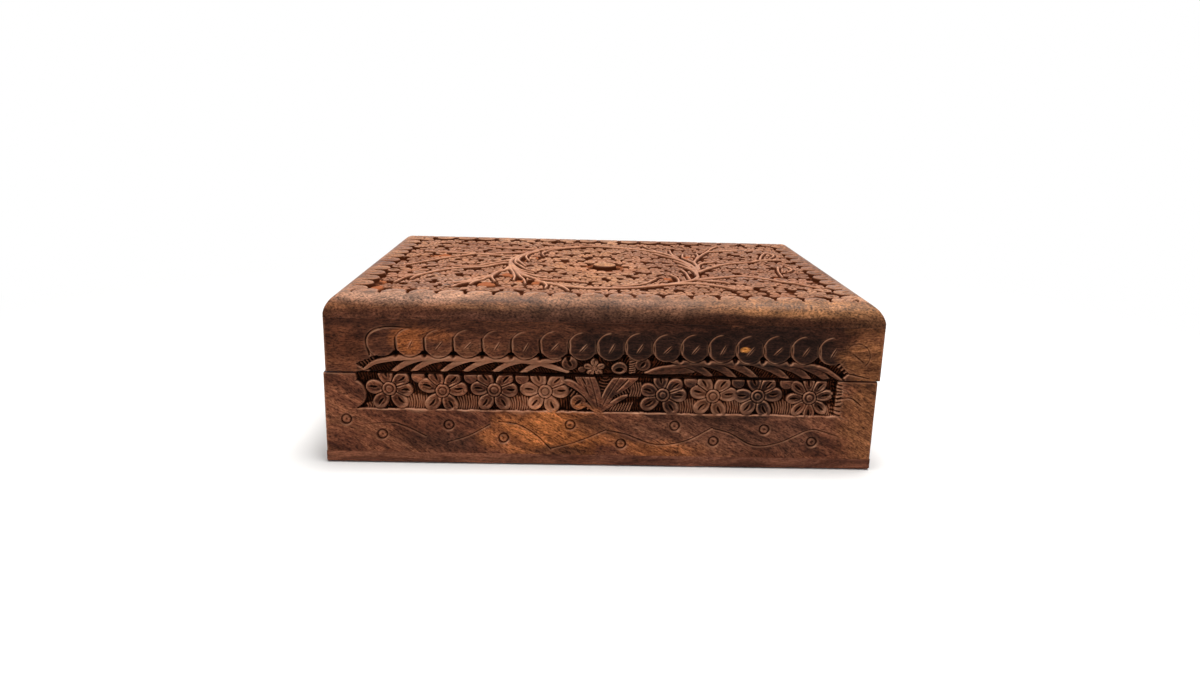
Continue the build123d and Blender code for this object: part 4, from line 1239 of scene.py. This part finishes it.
base_spots = front_spots([
    (-18, 12, 22, 14, FLAME, 0.85),
    (-62, 8, 15, 5, DUSK, 0.75),
    (-4, 16, 8, 5, DUSK, 0.7),
    (-17, 5.4, 14, 2.6, DUSK, 0.8),
    (48, 15, 46, 12, (0.135, 0.055, 0.032), 0.6),
    (45, 28, 56, 9, (0.044, 0.018, 0.012), 0.88),
    (23, 27, 8, 8, (0.030, 0.014, 0.011), 0.65),
    (58, 27, 9, 9, (0.026, 0.014, 0.012), 0.8),
    (41, 27, 6, 8, (0.150, 0.052, 0.022), 0.5),
    (99, 18, 12, 22, GOLD, 0.7),
    (22, 6, 16, 4, FLAME, 0.4),
])
lid_spots = front_spots([
    (36, 47, 56, 11, SOOT, 0.94),
    (66, 47, 26, 11, SOOT, 0.94),
    (-3, 45, 9, 7, SOOT, 0.6),
    (-90, 43.5, 4.5, 4.5, SOOT, 0.6),
    (-70.2, 46, 6.5, 6.5, (0.36, 0.105, 0.032), 0.85),
    (-60.5, 49, 7, 3, (0.30, 0.09, 0.03), 0.6),
    (-93, 43, 8, 8, (0.28, 0.085, 0.035), 0.4),
    (-20, 53.5, 70, 2.5, (0.066, 0.022, 0.012), 0.7),
    (98, 44, 10.5, 12, GOLD, 0.9),
    # A painted orange glint on one disc.
    (51.5, 46, 1.9, 1.2, (0.7, 0.26, 0.06), 0.9),
])
top_spots = [
    # Lighter along the top of the front roundover and the front row of scales: painted sheen.
    ((0, FRONT + 6, 64.5), (125, 11, 4.2), (0.37, 0.186, 0.106), 0.5),
    ((20, FRONT, 55.8), (112, 9, 4.8), (0.036, 0.012, 0.007), 0.95),
    ((-60, FRONT, 55), (76, 9, 4.0), (0.122, 0.042, 0.025), 0.7),
    # A painted golden highlight on the roundover's right half.
    ((75, FRONT + 3, 61.5), (45, 7, 3.2), (0.31, 0.132, 0.050), 0.8),
    ((2, FRONT + 3, 60), (46, 9, 4), (0.135, 0.062, 0.036), 0.65),
    ((-18, FRONT, 57.2), (38, 9, 2.8), (0.070, 0.031, 0.020), 0.65),
    ((2, 0, 63), (30, 36, 20), (0.43, 0.190, 0.074), 0.7),
    ((70, 2, 63), (14, 22, 20), (0.40, 0.17, 0.060), 0.5),
    ((-66, -48, 63), (26, 12, 10), (0.21, 0.110, 0.075), 0.6),
    # Lighter at the top of the roundover's left end: painted sheen.
    ((-72, FRONT + 6, 64), (34, 10, 4.5), (0.36, 0.188, 0.118), 0.7),
    ((60, 10, 63), (60, 80, 14), (0.145, 0.054, 0.024), 0.9),
]
bottom_spots = [
    ((-62, FRONT, 2), (52, 30, 12), (0.27, 0.098, 0.053), 0.85),
    ((52, FRONT, 2), (62, 30, 12), (0.215, 0.080, 0.048), 0.8),
]
TOP_GROUND = ((0.055, 0.016, 0.007), (0.30, 0.080, 0.028))

base_front_wood = wood("front_wood", "x", 1, STOPS, lean=-26, spots=base_spots, contrast=1.75)
base_left_wood = wood("left_wood", "y", 2, STOPS)
base_right_wood = wood("right_wood", "y", 3, STOPS)
base_back_wood = wood("back_wood", "x", 4, STOPS)
bottom_wood = wood("bottom_wood", "x", 5, STOPS, spots=bottom_spots, gloss=0.5)
lid_front_wood = wood("lid_front_wood", "x", 6, LID_STOPS, spots=lid_spots, contrast=1.75)
lid_left_wood = wood("lid_left_wood", "y", 7, LID_STOPS)
lid_right_wood = wood("lid_right_wood", "y", 8, LID_STOPS)
lid_back_wood = wood("lid_back_wood", "x", 9, LID_STOPS)
top_wood = wood("top_wood", "x", 10, TOP_STOPS, spots=top_spots, ground=TOP_GROUND, specular=(0.04, 0.22),
                sunk_tone=0.1, shadow=0.97, painted_shade_color=(0.045, 0.0105, 0.0035), contrast=1.65, patchy=0.28,
                fibre_length=0.9, flames=0.3, ragged=0.4)
inner_x = wood("inner_wood_x", "x", 11, STOPS, gloss=0.6, dry=0.35)
inner_y = wood("inner_wood_y", "y", 12, STOPS, gloss=0.6, dry=0.35)
brass = metal("old_brass", (0.62, 0.42, 0.16), (0.13, 0.075, 0.03), 1, 0.28, 0.6)
steel = metal("old_steel", (0.42, 0.41, 0.40), (0.12, 0.055, 0.028), 2, 0.34, 0.75)

# ------------------------------------------------------------------ carved boards
for node, spacing, seed, carve, outer, inner in (
        ("base_front_board", BASE_GRID, 100, carve_base_front, base_front_wood, inner_x),
        ("base_left_board", SIDE_GRID, 120, carve_base_side, base_left_wood, inner_y),
        ("base_right_board", SIDE_GRID, 140, carve_base_side, base_right_wood, inner_y),
        ("lid_front_rail", LID_GRID, 200, carve_lid_front, lid_front_wood, inner_x),
        ("lid_left_rail", SIDE_GRID, 220, carve_lid_side, lid_left_wood, inner_y),
        ("lid_right_rail", SIDE_GRID, 240, carve_lid_side, lid_right_wood, inner_y)):
    upright_board(node, spacing, seed, carve, [outer, inner])
top_board([top_wood, inner_x])

# ------------------------------------------------------------------ parts kept from the frame
kept = {"base_back_board": base_back_wood, "lid_back_rail": lid_back_wood, "base_bottom_board": bottom_wood}
for name in ("base_corner_pins", "bottom_board_nails", "lid_corner_pins", "left_hinge_pin",
             "right_hinge_pin"):
    kept[name] = steel
for side in ("left", "right"):
    for ending in ("base_leaf", "lid_leaf", "base_screws", "lid_screws"):
        kept[side + "_hinge_" + ending] = brass
for name, material in kept.items():
    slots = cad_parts[name].data.materials
    if not slots:
        slots.append(material)
    for number in range(len(slots)):
        slots[number] = material

# ------------------------------------------------------------------ room, light and camera
FLOOR_HALF = 6.0
FLOOR_DROP = 0.0002        # the floor lies this far below the box
FLOOR_GREY = (0.86, 0.86, 0.86, 1)
WHITE = (1, 1, 1, 1)
ROOM_BLUE = (0.95, 0.97, 1.0, 1)
LAMP_WARM = (1.0, 0.985, 0.96)
LAMP_TARGET = Vector((0, 0, 0.03))
CAMERA_PLACE = (-0.01144, -0.38854, 0.13140)
CAMERA_TURNS = ((-1.814, "Z"), (-14.667, "X"), (-1.602, "Y"))     # degrees: to the side, down and roll


def put_in_scene(name, data):
    thing = bpy.data.objects.new(name, data)
    bpy.context.scene.collection.objects.link(thing)
    return thing


world = bpy.data.worlds.new("room")
bpy.context.scene.world = world
world.use_nodes = True
nodes = Nodes(world.node_tree)
room = nodes.add("Background", {0: ROOM_BLUE, 1: 0.15})
white = nodes.add("Background", {0: WHITE, 1: 1.0})
nodes.finish(nodes.add("MixShader", {0: nodes.seen(), 1: room.outputs[0], 2: white.outputs[0]}), "World")

material, nodes = new_material("floor")
far = nodes.spread(nodes.vector("LENGTH", nodes.place()).outputs["Value"], 0.14, 0.42)
paper = nodes.add("BsdfPrincipled", {"Base Color": FLOOR_GREY, "Roughness": 0.9})
glow = nodes.add("Emission", {0: WHITE, 1: 1.0})
shows_glow = nodes.times(far, nodes.seen())
nodes.finish(nodes.add("MixShader", {0: shows_glow, 1: paper.outputs[0], 2: glow.outputs[0]}))
mesh = bpy.data.meshes.new("floor")
signs = ((-1, -1), (1, -1), (1, 1), (-1, 1))
mesh.from_pydata([(x * FLOOR_HALF, y * FLOOR_HALF, -FLOOR_DROP) for x, y in signs], [], [(0, 1, 2, 3)])
mesh.materials.append(material)
floor = put_in_scene("floor", mesh)


def softbox(name, place, width, height, power):
    """A rectangular lamp that points at the box."""
    data = bpy.data.lights.new(name, "AREA")
    data.shape = "RECTANGLE"
    data.size = width
    data.size_y = height
    data.energy = power
    data.color = LAMP_WARM
    lamp = put_in_scene(name, data)
    lamp.location = place
    lamp.rotation_euler = (LAMP_TARGET - Vector(place)).to_track_quat("-Z", "Y").to_euler()


softbox("overhead", (0.07, -0.04, 1.0), 0.6, 0.5, 15.0)
softbox("front_fill", (-0.3, -1.3, 0.6), 1.0, 0.6, 1.5)

camera_data = bpy.data.cameras.new("camera")
camera_data.sensor_width = 36
camera_data.lens = 26.835
camera_data.clip_start = 0.01
camera = put_in_scene("camera", camera_data)
turn = Matrix.Identity(3)
for degrees, axis in CAMERA_TURNS:
    turn = turn @ Matrix.Rotation(math.radians(degrees), 3, axis)
right, forward, up = (turn.col[k] for k in range(3))
camera.matrix_world = Matrix.Translation(CAMERA_PLACE) @ Matrix((right, up, -forward)).transposed().to_4x4()
bpy.context.scene.camera = camera
bpy.context.scene.view_settings.view_transform = "Standard"
